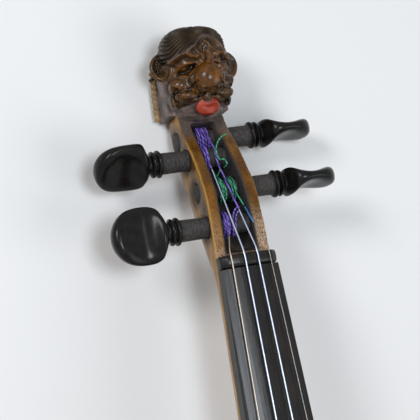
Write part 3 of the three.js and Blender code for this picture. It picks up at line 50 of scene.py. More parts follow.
# The neck frame, in millimetres: 0 at the nut's end of the board, +Y to the head, +Z off the board.
# The strings' bass side is -X. A peg comes in from its side, and turn is its thumb piece's, in degrees.
NECK_SLOPE = math.radians(6.3)
PEGS = {
    "g": {"y": 19, "z": -6, "side": -1, "turn": 0},
    "d": {"y": 48.8, "z": -16, "side": -1, "turn": 52},
    "a": {"y": 58.2, "z": -24.5, "side": 1, "turn": 90},
    "e": {"y": 34, "z": -11, "side": 1, "turn": 90},
}
G_PEG_PLACE = Vector((0, PEGS["g"]["y"], PEGS["g"]["z"]))
joints = {joint["name"]: joint for joint in frame["joints"]}
NECK_TURN = Matrix.Rotation(-NECK_SLOPE, 3, "X")
NECK_ORIGIN = Vector(joints["g_peg_turn"]["pos_m"]) - NECK_TURN @ (G_PEG_PLACE * MM)
NECK_AXES = np.array(NECK_TURN)
NECK_ZERO = np.array(NECK_ORIGIN)


def from_neck(points):
    """Row frame, in metres, of points given in the neck frame."""
    return np.asarray(points, float) @ NECK_AXES.T * MM + NECK_ZERO


def to_neck(points):
    return (np.asarray(points, float) - NECK_ZERO) @ NECK_AXES / MM


# Meshes

# A direction that no cord here starts along, and a length that counts as none.
ASKEW = (0.31, 0.27, 0.91)
TINY = 1e-12


def linked(name, data):
    obj = bpy.data.objects.new(name, data)
    SCENE.collection.objects.link(obj)
    return obj


def mesh_object(name, points, faces, smooth=True):
    mesh = bpy.data.meshes.new(name)
    mesh.from_pydata([tuple(p) for p in points], [], faces)
    mesh.validate()
    mesh.update()
    if smooth:
        mesh.shade_smooth()
    return linked(name, mesh)


def grid_faces(rows, columns, closed_rows=False):
    """Quads between rings: every row is a ring of columns points."""
    faces = []
    for r in range(rows if closed_rows else rows - 1):
        low, high = r * columns, (r + 1) % rows * columns
        for i in range(columns):
            j = (i + 1) % columns
            faces.append((low + i, low + j, high + j, high + i))
    return faces


def loft(rings):
    """Points and faces of a body through rings of as many points each, with flat ends."""
    rings = [np.asarray(ring, float) for ring in rings]
    rows, columns = len(rings), len(rings[0])
    faces = grid_faces(rows, columns)
    faces.append(tuple(reversed(range(columns))))
    faces.append(tuple(range((rows - 1) * columns, rows * columns)))
    return np.concatenate(rings), faces


def smooth_path(points, steps):
    """A Catmull-Rom curve through points."""
    points = np.asarray(points, float)
    padded = np.concatenate([2 * points[:1] - points[1:2], points, 2 * points[-1:] - points[-2:-1]])
    out = []
    for k in range(1, len(padded) - 2):
        a, b, c, d = padded[k - 1:k + 3]
        for i in range(steps):
            t = i / steps
            out.append(0.5 * (2 * b + (c - a) * t + (2 * a - 5 * b + 4 * c - d) * t ** 2
                              + (3 * b - 3 * c + d - a) * t ** 3))
    out.append(padded[-2])
    return np.array(out)


def turn_of(count):
    """Angles round one turn."""
    return np.arange(count) * 2 * math.pi / count


def tube(points, radius, sides=12, twist=0.0, flute=0.0):
    """Points and faces of a round cord. flute and twist give it the ridges of two laid strands."""
    points = np.asarray(points, float)
    tangents = np.gradient(points, axis=0)
    tangents /= np.linalg.norm(tangents, axis=1, keepdims=True)
    side = np.cross(tangents[0], ASKEW)
    angles = turn_of(sides)
    rings = []
    gone = 0.0
    for k, tangent in enumerate(tangents):
        side = side - tangent * side.dot(tangent)
        side /= np.linalg.norm(side)
        if k:
            gone += np.linalg.norm(points[k] - points[k - 1])
        local = radius * (1 + flute * np.cos(2 * angles + twist * gone))
        across = np.outer(np.cos(angles), side) + np.outer(np.sin(angles), np.cross(tangent, side))
        rings.append(points[k] + local[:, None] * across)
    return loft(rings)


def squared(value, power):
    return np.copysign(np.abs(value) ** power, value)


BALL_ROWS = 28
BALL_COLUMNS = 40


def ellipsoid(centre, radii, tilt=0.0, power=1.0):
    """tilt turns it about the neck frame's Z, in degrees; a power under 1 squares it."""
    cos, sin = math.cos(math.radians(tilt)), math.sin(math.radians(tilt))
    angles = turn_of(BALL_COLUMNS)
    rings = []
    for k in range(1, BALL_ROWS):
        polar = math.pi * k / BALL_ROWS
        x = radii[0] * math.sin(polar) ** power * squared(np.cos(angles), power)
        y = radii[1] * math.sin(polar) ** power * squared(np.sin(angles), power)
        z = np.full(BALL_COLUMNS, -radii[2] * squared(math.cos(polar), power))
        rings.append(np.array(centre) + np.column_stack([x * cos - y * sin, x * sin + y * cos, z]))
    return loft(rings)


def box_shape(low, high):
    (x0, y0, z0), (x1, y1, z1) = low, high
    return loft([[(x0, y0, z0), (x1, y0, z0), (x1, y1, z0), (x0, y1, z0)],
                 [(x0, y0, z1), (x1, y0, z1), (x1, y1, z1), (x0, y1, z1)]])


def gathered(shapes):
    """One point list and one face list of several bodies."""
    points, faces, start = [], [], 0
    for shape_points, shape_faces in shapes:
        points.append(shape_points)
        faces += [tuple(i + start for i in face) for face in shape_faces]
        start += len(shape_points)
    return np.concatenate(points), faces


def skinned(source, voxel):
    """One even skin round an object, in the neck frame, as arrays: points and faces. source goes."""
    remesh = source.modifiers.new("skin", "REMESH")
    remesh.mode = "VOXEL"
    remesh.voxel_size = voxel * MM
    graph = bpy.context.evaluated_depsgraph_get()
    mesh = bpy.data.meshes.new_from_object(source.evaluated_get(graph))
    flat = np.empty(3 * len(mesh.vertices))
    mesh.vertices.foreach_get("co", flat)
    skin = [tuple(polygon.vertices) for polygon in mesh.polygons]
    bpy.data.objects.remove(source)
    bpy.data.meshes.remove(mesh)
    return to_neck(flat.reshape(-1, 3)), skin


def skin_of_node(name, voxel):
    """One even skin round a copy of a CAD node."""
    source = linked(name + "_source", NODES[name].data.copy())
    source.matrix_world = NODES[name].matrix_world
    return skinned(source, voxel)


def as_quads(faces):
    """Faces as rows of four corners, a triangle with its last corner twice."""
    return np.array([face if len(face) == 4 else (*face, face[-1]) for face in faces])


def neighbours(faces):
    """The two ends of every edge, once each."""
    quads = as_quads(faces)
    pairs = np.concatenate([quads[:, [i, (i + 1) % 4]] for i in range(4)])
    pairs = pairs[pairs[:, 0] != pairs[:, 1]]
    return np.unique(np.sort(pairs, axis=1), axis=0)


def relaxed(points, edges, passes, share=0.5):
    """Each point drawn towards the mean of its neighbours."""
    points = points.copy()
    a, b = edges.T
    degree = np.maximum(np.bincount(edges.ravel(), minlength=len(points)), 1)[:, None]
    for _ in range(passes):
        total = np.zeros_like(points)
        np.add.at(total, a, points[b])
        np.add.at(total, b, points[a])
        points += share * (total / degree - points)
    return points


def normals_of(points, faces):
    quads = as_quads(faces)
    across = np.cross(points[quads[:, 2]] - points[quads[:, 0]], points[quads[:, 3]] - points[quads[:, 1]])
    normals = np.zeros_like(points)
    for i in range(4):
        np.add.at(normals, quads[:, i], across)
    return normals / np.maximum(np.linalg.norm(normals, axis=1, keepdims=True), TINY)


def give_tones(obj, tones):
    """Values at every point, which a material reads by their names."""
    for name, values in tones.items():
        attribute = obj.data.attributes.new(name, "FLOAT", "POINT")
        attribute.data.foreach_set("value", np.asarray(values, float))


# Materials

# The colour sockets of a Mix node, which has others of the same names.
MIX_A, MIX_B, MIX_OUT = 6, 7, 2


def rgba(value):
    """A colour, or a grey level, with its alpha."""
    return (*value, 1) if np.ndim(value) else (value, value, value, 1)


class Nodes:
    """A small hand for wiring a node material. Noises are stretched in waves per metre along X, Y and Z."""

    def __init__(self, name):
        self.material = bpy.data.materials.new(name)
        self.material.use_nodes = True
        self.tree = self.material.node_tree
        self.shader = self.tree.nodes["Principled BSDF"]
        self.places = self.tree.nodes.new("ShaderNodeTexCoord")

    def node(self, kind, **inputs):
        node = self.tree.nodes.new(kind)
        for key, value in inputs.items():
            self.put(node.inputs[key.replace("_", " ")], value)
        return node

    def put(self, socket, value):
        if isinstance(value, bpy.types.NodeSocket):
            self.tree.links.new(value, socket)
        else:
            socket.default_value = value

    def stretched(self, scale):
        mapping = self.node("ShaderNodeMapping", Scale=scale)
        self.tree.links.new(self.places.outputs["Object"], mapping.inputs["Vector"])
        return mapping.outputs["Vector"]

    def noise(self, scale, detail=4.0, rough=0.55, twist=0.0):
        node = self.node("ShaderNodeTexNoise", Vector=self.stretched(scale), Scale=1.0, Detail=detail,
                         Roughness=rough, Distortion=twist)
        return node.outputs["Fac"]

    def ramp(self, fac, stops):
        node = self.node("ShaderNodeValToRGB", Fac=fac)
        elements = node.color_ramp.elements
        while len(elements) < len(stops):
            elements.new(0.5)
        for element, (place, colour) in zip(elements, stops):
            element.position = place
            element.color = rgba(colour)
        return node.outputs["Color"]

    def mix(self, fac, a, b, how="MIX"):
        node = self.tree.nodes.new("ShaderNodeMix")
        node.data_type = "RGBA"
        node.blend_type = how
        self.put(node.inputs["Factor"], fac)
        for socket, value in ((node.inputs[MIX_A], a), (node.inputs[MIX_B], b)):
            self.put(socket, value if isinstance(value, bpy.types.NodeSocket) else rgba(value))
        return node.outputs[MIX_OUT]

    def tone(self, name):
        node = self.tree.nodes.new("ShaderNodeAttribute")
        node.attribute_name = name
        return node.outputs["Fac"]

    def product(self, a, b):
        node = self.tree.nodes.new("ShaderNodeMath")
        node.operation = "MULTIPLY"
        self.put(node.inputs[0], a)
        self.put(node.inputs[1], b)
        return node.outputs[0]

    def bump(self, height, depth, strength=1.0):
        """depth is in millimetres."""
        node = self.node("ShaderNodeBump", Height=height, Distance=depth * MM, Strength=strength)
        self.tree.links.new(node.outputs["Normal"], self.shader.inputs["Normal"])

    def finish(self, colour, rough, coat=0.0, metal=0.0, coat_rough=0.08, specular=0.5):
        values = {"Base Color": colour, "Roughness": rough, "Metallic": metal, "Coat Weight": coat,
                  "Coat Roughness": coat_rough, "Specular IOR Level": specular}
        for name, value in values.items():
            self.put(self.shader.inputs[name], value)
        return self.material


def wood(name, colours, grain, figure, rough, coat):
    """colours go from dark to light; grain and figure are the stretches of two noises."""
    n = Nodes(name)
    dark, middle, light = colours
    fibres = n.noise(grain, detail=5.0, twist=0.3)
    waves = n.noise(figure, detail=3.0, twist=0.6)
    base = n.ramp(fibres, [(0.3, dark), (0.5, middle), (0.72, light)])
    shade = n.ramp(waves, [(0.35, 0.62), (0.65, 1.0)])
    n.bump(fibres, 0.06)
    return n.finish(n.mix(0.75, base, shade, "MULTIPLY"), rough, coat=coat, coat_rough=0.2, specular=0.3)


def ebony_material():
    n = Nodes("ebony")
    fibres = n.noise((900, 60, 900), detail=6.0)
    clouds = n.noise((120, 40, 120), detail=3.0)
    dark = n.ramp(fibres, [(0.35, 0.003), (0.75, (0.012, 0.01, 0.009))])
    worn = n.ramp(clouds, [(0.5, 0.0), (0.75, 1.0)])
    n.bump(fibres, 0.03)
    return n.finish(n.mix(worn, dark, (0.022, 0.015, 0.012)), 0.27, specular=0.22)


def metal(name, colour, rough, grain):
    n = Nodes(name)
    lines = n.noise(grain, detail=4.0)
    tint = n.mix(n.ramp(lines, [(0.3, 0.0), (0.7, 1.0)]), tuple(0.75 * c for c in colour), colour)
    n.bump(lines, 0.01)
    return n.finish(tint, rough, metal=1.0)


def thread(name, dark, light, pitch):
    """Twisted silk or gut: fine oblique ridges across a cord, painted light on the ridges and dark between them, a
    painted highlight and shade.
    """
    n = Nodes(name)
    wave = n.node("ShaderNodeTexWave", Vector=n.stretched((1, 1, 1)), Scale=1 / pitch, Distortion=1.5,
                  Detail=2.0)
    wave.bands_direction = "DIAGONAL"
    tufts = n.noise((2500, 2500, 2500), detail=3.0)
    shade = n.mix(0.4, wave.outputs["Fac"], tufts)
    n.bump(wave.outputs["Fac"], 0.12)
    # The colour runs from dark between the ridges to light on them: painted shade and painted highlight.
    return n.finish(n.ramp(shade, [(0.2, dark), (0.8, light)]), 0.62)


def carving_material():
    """Brown varnish, amber on the face, near-black in the cuts and hollows as painted shade, lighter amber on the
    crests as painted highlight.
    """
    n = Nodes("carving")
    clouds = n.noise((260, 260, 260), detail=5.0, rough=0.62)
    fibres = n.noise((700, 120, 700), detail=4.0)
    spread = n.ramp(clouds, [(0.34, 0.0), (0.66, 1.0)])
    amber = n.mix(spread, (0.026, 0.01, 0.001), (0.17, 0.056, 0.003))
    brown = n.mix(spread, (0.01, 0.006, 0.002), (0.044, 0.026, 0.01))
    grey = n.mix(spread, (0.05, 0.036, 0.032), (0.2, 0.145, 0.13))
    tan = n.mix(spread, (0.16, 0.09, 0.035), (0.36, 0.24, 0.1))
    # The amber tone is higher on the crests, a painted highlight.
    base = n.mix(n.tone("amber"), brown, amber)
    base = n.mix(n.tone("worn"), base, grey)
    base = n.mix(n.tone("border"), base, tan)
    # Near-black in the cuts, the hollows and between hair strands: painted shade.
    base = n.mix(n.tone("cut"), base, (0.006, 0.004, 0.003))
    base = n.mix(n.ramp(fibres, [(0.55, 0.0), (0.75, 0.35)]), base, (0.02, 0.01, 0.006))
    rough = n.mix(n.tone("hair"), n.mix(n.tone("worn"), 0.22, 0.34), 0.42)
    n.bump(clouds, 0.2, 0.5)
    return n.finish(base, rough, coat=n.mix(n.tone("hair"), 0.05, 0.01), coat_rough=0.12, specular=0.22)


def tongue_material():
    n = Nodes("tongue_paint")
    clouds = n.noise((500, 500, 500), detail=4.0)
    red = n.ramp(clouds, [(0.3, (0.18, 0.014, 0.005)), (0.6, (0.3, 0.03, 0.01)), (0.8, (0.4, 0.06, 0.024))])
    n.bump(clouds, 0.12)
    return n.finish(red, 0.42, coat=0.06, specular=0.3)


MATERIALS = {
    "spruce": wood("spruce", [(0.24, 0.085, 0.02), (0.42, 0.17, 0.045), (0.5, 0.23, 0.07)],
                   (520, 6, 520), (30, 9, 30), 0.36, 0.12),
    "maple": wood("maple", [(0.14, 0.045, 0.012), (0.24, 0.085, 0.022), (0.34, 0.14, 0.035)],
                  (260, 18, 260), (25, 160, 25), 0.34, 0.12),
    "bare_wood": wood("bare_wood", [(0.42, 0.27, 0.13), (0.56, 0.38, 0.2), (0.66, 0.48, 0.28)],
                      (400, 8, 400), (20, 8, 20), 0.7, 0.0),
    "bridge_maple": wood("bridge_maple", [(0.4, 0.23, 0.1), (0.55, 0.35, 0.16), (0.65, 0.45, 0.24)],
                         (60, 60, 700), (90, 90, 20), 0.5, 0.1),
    "ebony": ebony_material(),
    "carving": carving_material(),
    "steel": metal("steel", (0.62, 0.62, 0.64), 0.24, (1500, 1500, 200)),
    "steel_string": metal("steel_string", (0.72, 0.72, 0.7), 0.3, (900, 5000, 900)),
    "gut": thread("gut", (0.01, 0.01, 0.011), (0.04, 0.04, 0.042), 0.004),
    "silk": thread("silk", (0.035, 0.015, 0.13), (0.2, 0.11, 0.55), 0.004),
}
PURPLE = thread("silk_purple", (0.03, 0.013, 0.14), (0.22, 0.14, 0.55), 0.0035)
GREEN = thread("silk_green", (0.006, 0.085, 0.045), (0.05, 0.36, 0.2), 0.0035)
BLUE = thread("silk_blue", (0.012, 0.06, 0.19), (0.07, 0.26, 0.56), 0.0035)


def dress(obj, material):
    obj.data.materials.clear()
    obj.data.materials.append(material)
    return obj


def on_neck(name, points, faces, material):
    """A dressed object from points in the neck frame."""
    return dress(mesh_object(name, from_neck(points), faces), material)


def stand_in(obj, node, body):
    """obj takes the place of a CAD node."""
    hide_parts(node)
    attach(obj, body)


SLOTS = {part["node"]: part["material_slot"] for part in frame["record"]["subparts"]}
SHARP_ANGLE = math.radians(32)
for node_name, node in NODES.items():
    dress(node, MATERIALS[SLOTS[node_name]])
    node.data.shade_smooth()
    node.data.set_sharp_from_angle(angle=SHARP_ANGLE)

# The carved head, in the neck frame

HEAD_VOXEL = 0.25
LEFT_RIGHT = (-1, 1)
# The right half of the face is narrower than the left.
RIGHT_SHARE = 0.9
# Forms in the middle: the centre, the radii and the power that squares them.
MIDDLE_FORMS = {
    "skull": ((-1, 84, -17.5), (14.2, 17.2, 14.2), 0.85),
    "forehead": ((-1.7, 93.2, -10), (13.5, 9.5, 9.8), 0.8),
    "back": ((-0.7, 86, -21.2), (13.9, 15.2, 11.4), 0.8),
    "jaw": ((0, 77, -16), (12.6, 9.5, 10.2), 1.0),
    "throat": ((0, 69.6, -19), (10.6, 4.8, 6.8), 1.0),
    "nose": ((1.4, 80, -5), (6.8, 6.6, 6.8), 0.95),
    "frown": ((0, 89, -6.4), (4.8, 6.5, 3.6), 1.0),
    "lip": ((-0.3, 72.8, -6.6), (2.3, 2.8, 2.8), 1.0),
}
# Forms on both sides, given for the right: the centre, the radii and the turn in degrees.
SIDE_FORMS = {
    "cheek": ((9.6, 78.7, -10.2), (4.9, 4.1, 5.2), 0),
    "nostril": ((2.6, 75.8, -4.2), (1.9, 1.9, 3.4), 0),
    "jowl": ((7.9, 73.5, -8.2), (5.3, 2.7, 4.8), 7),
    "fold": ((12.4, 73.6, -13.2), (1.6, 4.2, 3.8), 0),
    "brow": ((8.4, 89.6, -9.4), (5.2, 2.1, 3.8), -4),
    "eyelid": ((8.2, 84.6, -10.2), (4.2, 2.6, 3.4), -12),
}
BLOCK_CORNERS = ((-13.4, 68.8, -32.3), (13.4, 91, -19))
# An ear's rim and its cup, and how far each ear hangs below them.
EAR_RIM = [(12.4, 94.2, -15.2), (15.4, 94, -15), (17.8, 91.6, -15.2), (18.2, 88.4, -15.2),
           (16.6, 85.2, -15), (13.4, 84.2, -14.8)]
EAR_RIM_RADIUS = 1.12
EAR_CUP_CENTRE = (14.6, 89.4, -16.2)
EAR_CUP_RADII = (3.8, 4.8, 2.2)
EAR_DROPS = {-1: 0.9, 1: 2.2}
# The rope carved along the edge of the block.
ROPE = [(13.2, 94.6, -22.5), (13.8, 89.5, -28), (13.9, 80, -30.8), (13.9, 69.8, -32)]
ROPE_RADIUS = 1.35


def mirrored(points, side):
    return [(side * p[0], *p[1:]) for p in points]


def lowered(points, low):
    return [(x, y - low, z) for x, y, z in points]


def rope_line(side):
    return smooth_path(mirrored(ROPE, side), steps=16)


def head_shapes():
    shapes = [ellipsoid(centre, radii, power=power) for centre, radii, power in MIDDLE_FORMS.values()]
    shapes.append(box_shape(*BLOCK_CORNERS))
    for side in LEFT_RIGHT:
        out = side * (RIGHT_SHARE if side > 0 else 1)
        for centre, radii, turn in SIDE_FORMS.values():
            shapes.append(ellipsoid(mirrored([centre], out)[0], radii, tilt=side * turn))
        low = EAR_DROPS[side]
        rim = smooth_path(mirrored(lowered(EAR_RIM, low), side), steps=8)
        shapes.append(tube(rim, EAR_RIM_RADIUS, sides=14))
        shapes.append(ellipsoid(mirrored(lowered([EAR_CUP_CENTRE], low), side)[0], EAR_CUP_RADII))
        shapes.append(tube(rope_line(side), ROPE_RADIUS, sides=16, twist=2.9, flute=0.2))
    return shapes


def distance_to(points, line):
    """Distance of every point to a smooth line, both seen from the front."""
    path = smooth_path(line, steps=10)
    best = np.full(len(points), np.inf)
    for a, b in zip(path[:-1], path[1:]):
        run = b - a
        share = np.clip(((points[:, :2] - a) @ run) / max(run @ run, TINY), 0, 1)
        best = np.minimum(best, np.linalg.norm(points[:, :2] - a - share[:, None] * run, axis=1))
    return best


def bell(distance, width):
    """1 at no distance, falling softly to nothing over about twice the width."""
    return np.exp(-(distance / width) ** 2)


def eased(values, low, high):
    """From 0 at low to 1 at high, with soft ends."""
    share = np.clip((values - low) / (high - low), 0, 1)
    return share * share * (3 - 2 * share)


HAIRLINE = [(-16, 86.5), (-13.4, 88.6), (-11, 89.7), (-7.2, 91), (-3.4, 93.4), (0.8, 96.8), (6.6, 93.8),
            (8.9, 91.5), (11.2, 90.1), (15, 84.5)]
# Folds and cuts of the face: the side (0 is both), points, width, and height, which is below 0 for a cut.
RELIEF = [
    (-1, [(-12.8, 88.2), (-10, 89.6), (-7.6, 89.9), (-5.5, 88.9), (-3.4, 88.4)], 0.8, 0.8),
    (1, [(5.1, 87.7), (5.4, 89.2), (7, 89.9), (9.5, 89.5), (12.4, 87.6)], 0.8, 0.8),
    (0, [(12.8, 88.6), (12.6, 86.4), (12.9, 83.8), (13.7, 81.6), (14, 79.5), (13.2, 77.4)], 0.7, 0.7),
    (0, [(11, 84.2), (10.0, 85.6), (8.6, 86.2), (6.8, 86.5), (4.6, 86)], 0.6, 0.9),
    (0, [(10.2, 82.1), (8.2, 81.3), (6.3, 81.9), (4.8, 83.2)], 0.5, 0.6),
    (0, [(7.4, 80.6), (6.3, 82), (4.1, 83.9), (2.5, 85.5), (0, 86.3)], 0.45, 0.75),
    (-1, [(-3.9, 92.4), (-3.6, 91), (-2.6, 89.6), (-1.1, 88.6), (-1.2, 87), (-2.8, 85.6)], 0.8, 1.1),
    (1, [(0.4, 94.4), (1.9, 93.2), (2.6, 91.6), (1.3, 90.2), (2.3, 88.6), (1.7, 87)], 0.75, 1.0),
    (0, [(10.4, 83.5), (8, 83.4), (6.35, 84.4), (4.8, 85.1)], 0.95, -2.3),
    (-1, [(-12.8, 76.6), (-13, 74.5), (-12.9, 72.6), (-12.3, 70.8)], 0.5, -1.6),
    (1, [(12.1, 76.4), (12.3, 74.5), (12.2, 72.6), (11.6, 70.8)], 0.45, -1.1),
    (-1, [(-16.4, 91), (-16.5, 88.2), (-15.9, 85.8)], 0.6, -1.0),
    (0, [(13.4, 77.6), (11.9, 75.9), (9.6, 75.2), (6.8, 76.5), (4.9, 78.3)], 0.5, -0.9),
    (0, [(7.4, 81.8), (7.2, 79.2), (6.1, 77.2), (4.3, 75.6)], 0.5, -0.8),
    (0, [(11.4, 70.5), (8.8, 70.5), (5.9, 71.3), (3.7, 72.6), (1.9, 73.9)], 0.5, -1.2),
    (0, [(5.2, 87.4), (8.5, 88), (11.6, 86.9)], 0.5, -0.7),
    (0, [(1.6, 74.3), (2.4, 74.5), (3.1, 74.3)], 0.5, -1.1),
    (-1, [(0, 92), (-0.3, 90.2), (0.3, 88), (0.2, 86.8)], 0.45, -0.6),
    (-1, [(-0.6, 94.6), (-2.4, 92.8), (-5, 91)], 0.55, -0.6),
    (1, [(1.8, 95), (4, 93.6), (6.2, 91.4), (8, 90.6)], 0.6, -0.7),
    (-1, [(-4.6, 87), (-3.2, 86.7)], 0.5, -0.6),
]
# Strands of hair fan out from the crown, which is above the head. STRANDS of them make one turn.
CROWN = 104.5
STRAND_LEAN = 0.35
STRANDS = 92
STRAND_HEIGHT = 0.5
HAIR_SUNK = 0.1
RIDGE_HEIGHT = 0.9
RIDGE_WIDTH = 0.7
# A fold or a cut that is given for one side ends this far past the middle.
PAST_MIDDLE = 1
# Passes that round the forms, and passes to the soft surface that relief is measured from.
ROUNDING = 5
SOFTENING = 30
# Places on the mask: x, y and the width that they fade over.
LIP_PLACE = (-0.3, 72.4, 2.0)
FAR_JOWL_PLACE = (9, 72.4, 3.4)
NOSE_PLACE = (1.4, 80, 6.2)


def near(x, y, place):
    """How near a point is to a place on the mask, as seen from the front."""
    place_x, place_y, width = place
    return bell(np.hypot(x - place_x, y - place_y), width)


def face_relief(points, front):
    """How high folds and cuts raise each point, and how deep in a cut it lies."""
    x = points[:, 0]
    half = points.copy()
    half[:, 0] = np.where(x > 0, x / RIGHT_SHARE, -x)
    lift = np.zeros(len(points))
    cut = np.zeros(len(points))
    for side, line, width, height in RELIEF:
        reach = bell(distance_to(points if side else half, line), width)
        reach *= np.where(side * x >= -PAST_MIDDLE, front, 0)
        lift += height * reach
        cut = np.maximum(cut, reach * min(1, -height))
    return lift, cut


def hair_waves(x, y, z):
    """From -1 between the strands to 1 on them; the strands wander a little."""
    angle = np.arctan2(x, CROWN - y - STRAND_LEAN * (z + 6))
    return np.sin(angle * STRANDS + 1.1 * np.sin(y * 0.6) + 0.6 * np.sin(x * 0.9 + z * 0.5))


def add_head():
    """The forms under one skin, then folds, cuts and hair along its normals, and a tone for each look."""
    points, faces = gathered(head_shapes())
    points, faces = skinned(mesh_object("head_source", from_neck(points), faces), HEAD_VOXEL)
    edges = neighbours(faces)
    points = relaxed(points, edges, ROUNDING)
    normals = normals_of(points, faces)
    x, y, z = points.T
    front = eased(normals[:, 2], 0.05, 0.5) * eased(z, -20, -15)
    hairline = np.interp(x, *zip(*HAIRLINE))
    lift, cut = face_relief(points, front)
    hair = eased(y - hairline, 0.1, 1.2) * eased(z, -36, -30) * (1 - eased(np.abs(x), 15, 16))
    ridge = bell(distance_to(points, HAIRLINE), RIDGE_WIDTH) * eased(normals[:, 2], -0.1, 0.3)
    lift += RIDGE_HEIGHT * ridge
    lift += hair * (STRAND_HEIGHT * hair_waves(x, y, z) - HAIR_SUNK)
    points += normals * lift[:, None]
    # x, y and z follow: the tones are placed on the carved surface.
    points = relaxed(points, edges, 1, 0.2)
    relief = np.einsum("ij,ij->i", points - relaxed(points, edges, SOFTENING), normals)
    face = eased(hairline - y, -0.4, 0.8) * eased(z, -19, -14) * eased(y, 69, 73)
    ears = eased(np.abs(x), 15.2, 16.2) * eased(z, -19, -17)
    nose = near(x, y, NOSE_PLACE) * eased(z, -8, -5)
    # Amber rises with relief, so crests are painted lighter and hollows darker: painted light and shade over the
    # face's own amber.
    amber = np.clip(0.4 + 1.6 * relief + 0.55 * nose, 0.08, 1) * np.maximum(face, 0.6 * ears)
    amber *= (1 - 0.9 * near(x, y, LIP_PLACE)) * (1 - 0.6 * near(x, y, FAR_JOWL_PLACE))
    throat = np.maximum(eased(-z, 13, 17) * eased(86 - y, 0, 6) * (1 - ears), eased(71.2 - y, 0, 1.2))
    # The cut tone: how far each point lies in a cut, a hollow or between hair strands, painted near-black as
    # shade.
    cut = np.clip(0.6 * cut + np.clip(-relief - 0.12, 0, 1) * 2.1 * (0.25 + 0.75 * hair), 0, 1)
    border = np.minimum(*[np.linalg.norm(points[:, None] - rope_line(side)[None], axis=2).min(axis=1)
                          for side in LEFT_RIGHT])
    tones = {"amber": amber, "worn": np.clip(np.maximum(throat, 0.35 * ridge), 0, 1), "cut": cut,
             "hair": hair, "border": eased(border, 1.75, 1.35)}
    head = on_neck("lion_head", points, faces, MATERIALS["carving"])
    give_tones(head, tones)
    stand_in(head, "head", "violin")


# The tongue, in millimetres, from its tip to the mouth: across, along and off the face.
TONGUE_TIP = (0.2, 65.8, -9.4)
TONGUE_WIDTH = 10.4
TONGUE_LENGTH = 6.6
TONGUE_RISE = 1.8
TONGUE_THICKNESS = 4.6
NOTCH_DEPTH = 2.0
FOLD_DEPTH = 0.9
TONGUE_ROWS = 30
TONGUE_COLUMNS = 40


def tongue_point(u, v, thick):
    """u runs across from -1 to 1, v along from the tip to the mouth, thick from the underside to the top."""
    spread = math.sin(math.pi * (0.08 + 0.84 * v)) ** 0.5
    notch = NOTCH_DEPTH * bell(u + 0.08, 0.26) * v ** 3
    fold = FOLD_DEPTH * bell(v - 0.46 - 0.08 * u, 0.06) * max(thick, 0) * eased(u, -0.6, 0)
    x, y, z = TONGUE_TIP
    return (x + TONGUE_WIDTH / 2 * spread * u, y + TONGUE_LENGTH * v - notch,
            z + TONGUE_RISE * v + thick * (TONGUE_THICKNESS / 2 - 0.9 * u * u) - fold)


def add_tongue():
    """A flat tongue with a notch over its middle and a fold across it."""
    points, faces = loft([
        [tongue_point(math.cos(angle), k / TONGUE_ROWS, math.sin(angle)) for angle in turn_of(TONGUE_COLUMNS)]
        for k in range(TONGUE_ROWS + 1)])
    tongue = on_neck("lion_tongue", points, faces, tongue_material())
    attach(tongue, "violin")


add_head()
add_tongue()

# Pegs: along +Y of their own frame into the box, 0 at the outside of the cheek by the head.

NUT_WIDTH = 24
BOX_WIDTH_AT_HEAD = 20.5
BOX_LENGTH = 69
CHEEK = 5.1
SHAFT_RADIUS = 4.25
SHAFT_TAPER = 1 / 60
EXPOSURE = 11.4
COLLAR_LENGTH = 5.6
COLLAR_RADIUS = 5.7
THUMB_LENGTH = 22.4
THUMB_WIDTH = 23.4
THUMB_THICKNESS = 12
THUMB_DISH = 1.1
# Along the collar: shares of its full radius and of its length.
COLLAR_SHARES = [(0.76, -0.02), (0.8, 0.0), (0.92, 0.04), (1, 0.12), (1, 0.22), (0.92, 0.3), (0.76, 0.36),
                 (0.74, 0.42), (0.88, 0.48), (0.96, 0.56), (0.94, 0.66), (0.8, 0.74), (0.7, 0.8), (0.68, 0.9),
                 (0.7, 1.0)]
# Along the thumb piece, then its width and its thickness, as shares of the full sizes.
THUMB_SHARES = [(0, 0.34, 0.68), (0.03, 0.52, 0.88), (0.08, 0.72, 0.98), (0.13, 0.87, 0.93),
                (0.24, 0.97, 0.7), (0.4, 1, 0.52), (0.56, 0.98, 0.54), (0.72, 0.89, 0.66), (0.85, 0.71, 0.7),
                (0.94, 0.47, 0.58), (0.985, 0.24, 0.36), (1.0, 0.02, 0.06)]
# How far the thumb piece is squared, and its steps between two given places.
THUMB_SQUARE = 0.8
THUMB_STEPS = 5
PEG_BEVEL = 0.3
SHAFT_STEPS = 24
ROUND = 48


def box_half(y):
    """Half the pegbox's width at y along the neck."""
    share = min(max(y / BOX_LENGTH, 0), 1)
    return (NUT_WIDTH + (BOX_WIDTH_AT_HEAD - NUT_WIDTH) * share) / 2


def shaft_radius(along):
    return SHAFT_RADIUS - along * SHAFT_TAPER


def peg_matrix(peg):
    place = Matrix.Translation((peg["side"] * box_half(peg["y"]), peg["y"], peg["z"]))
    spin = Matrix.Rotation(math.radians(peg["turn"]), 4, "X")
    return np.array(place @ spin @ Matrix.Rotation(peg["side"] * math.pi / 2, 4, "Z"))


def placed(points, matrix):
    points = np.asarray(points, float)
    return points @ matrix[:3, :3].T + matrix[:3, 3]


def circle(radius, along):
    angles = turn_of(ROUND)
    return np.column_stack([radius * np.cos(angles), np.full(ROUND, along), radius * np.sin(angles)])


def peg_body(peg):
    width = 2 * box_half(peg["y"])
    tip = shaft_radius(width)
    profile = [(0.3 * tip, width), (tip - PEG_BEVEL, width), (tip, width - PEG_BEVEL)]
    profile += [(shaft_radius(y), y) for y in np.linspace(width - 1, -EXPOSURE, SHAFT_STEPS)]
    profile += [(r * COLLAR_RADIUS, -EXPOSURE - y * COLLAR_LENGTH) for r, y in COLLAR_SHARES]
    profile.append((0.7 * COLLAR_RADIUS, -EXPOSURE - COLLAR_LENGTH - 1))
    return loft([circle(r, y) for r, y in profile])


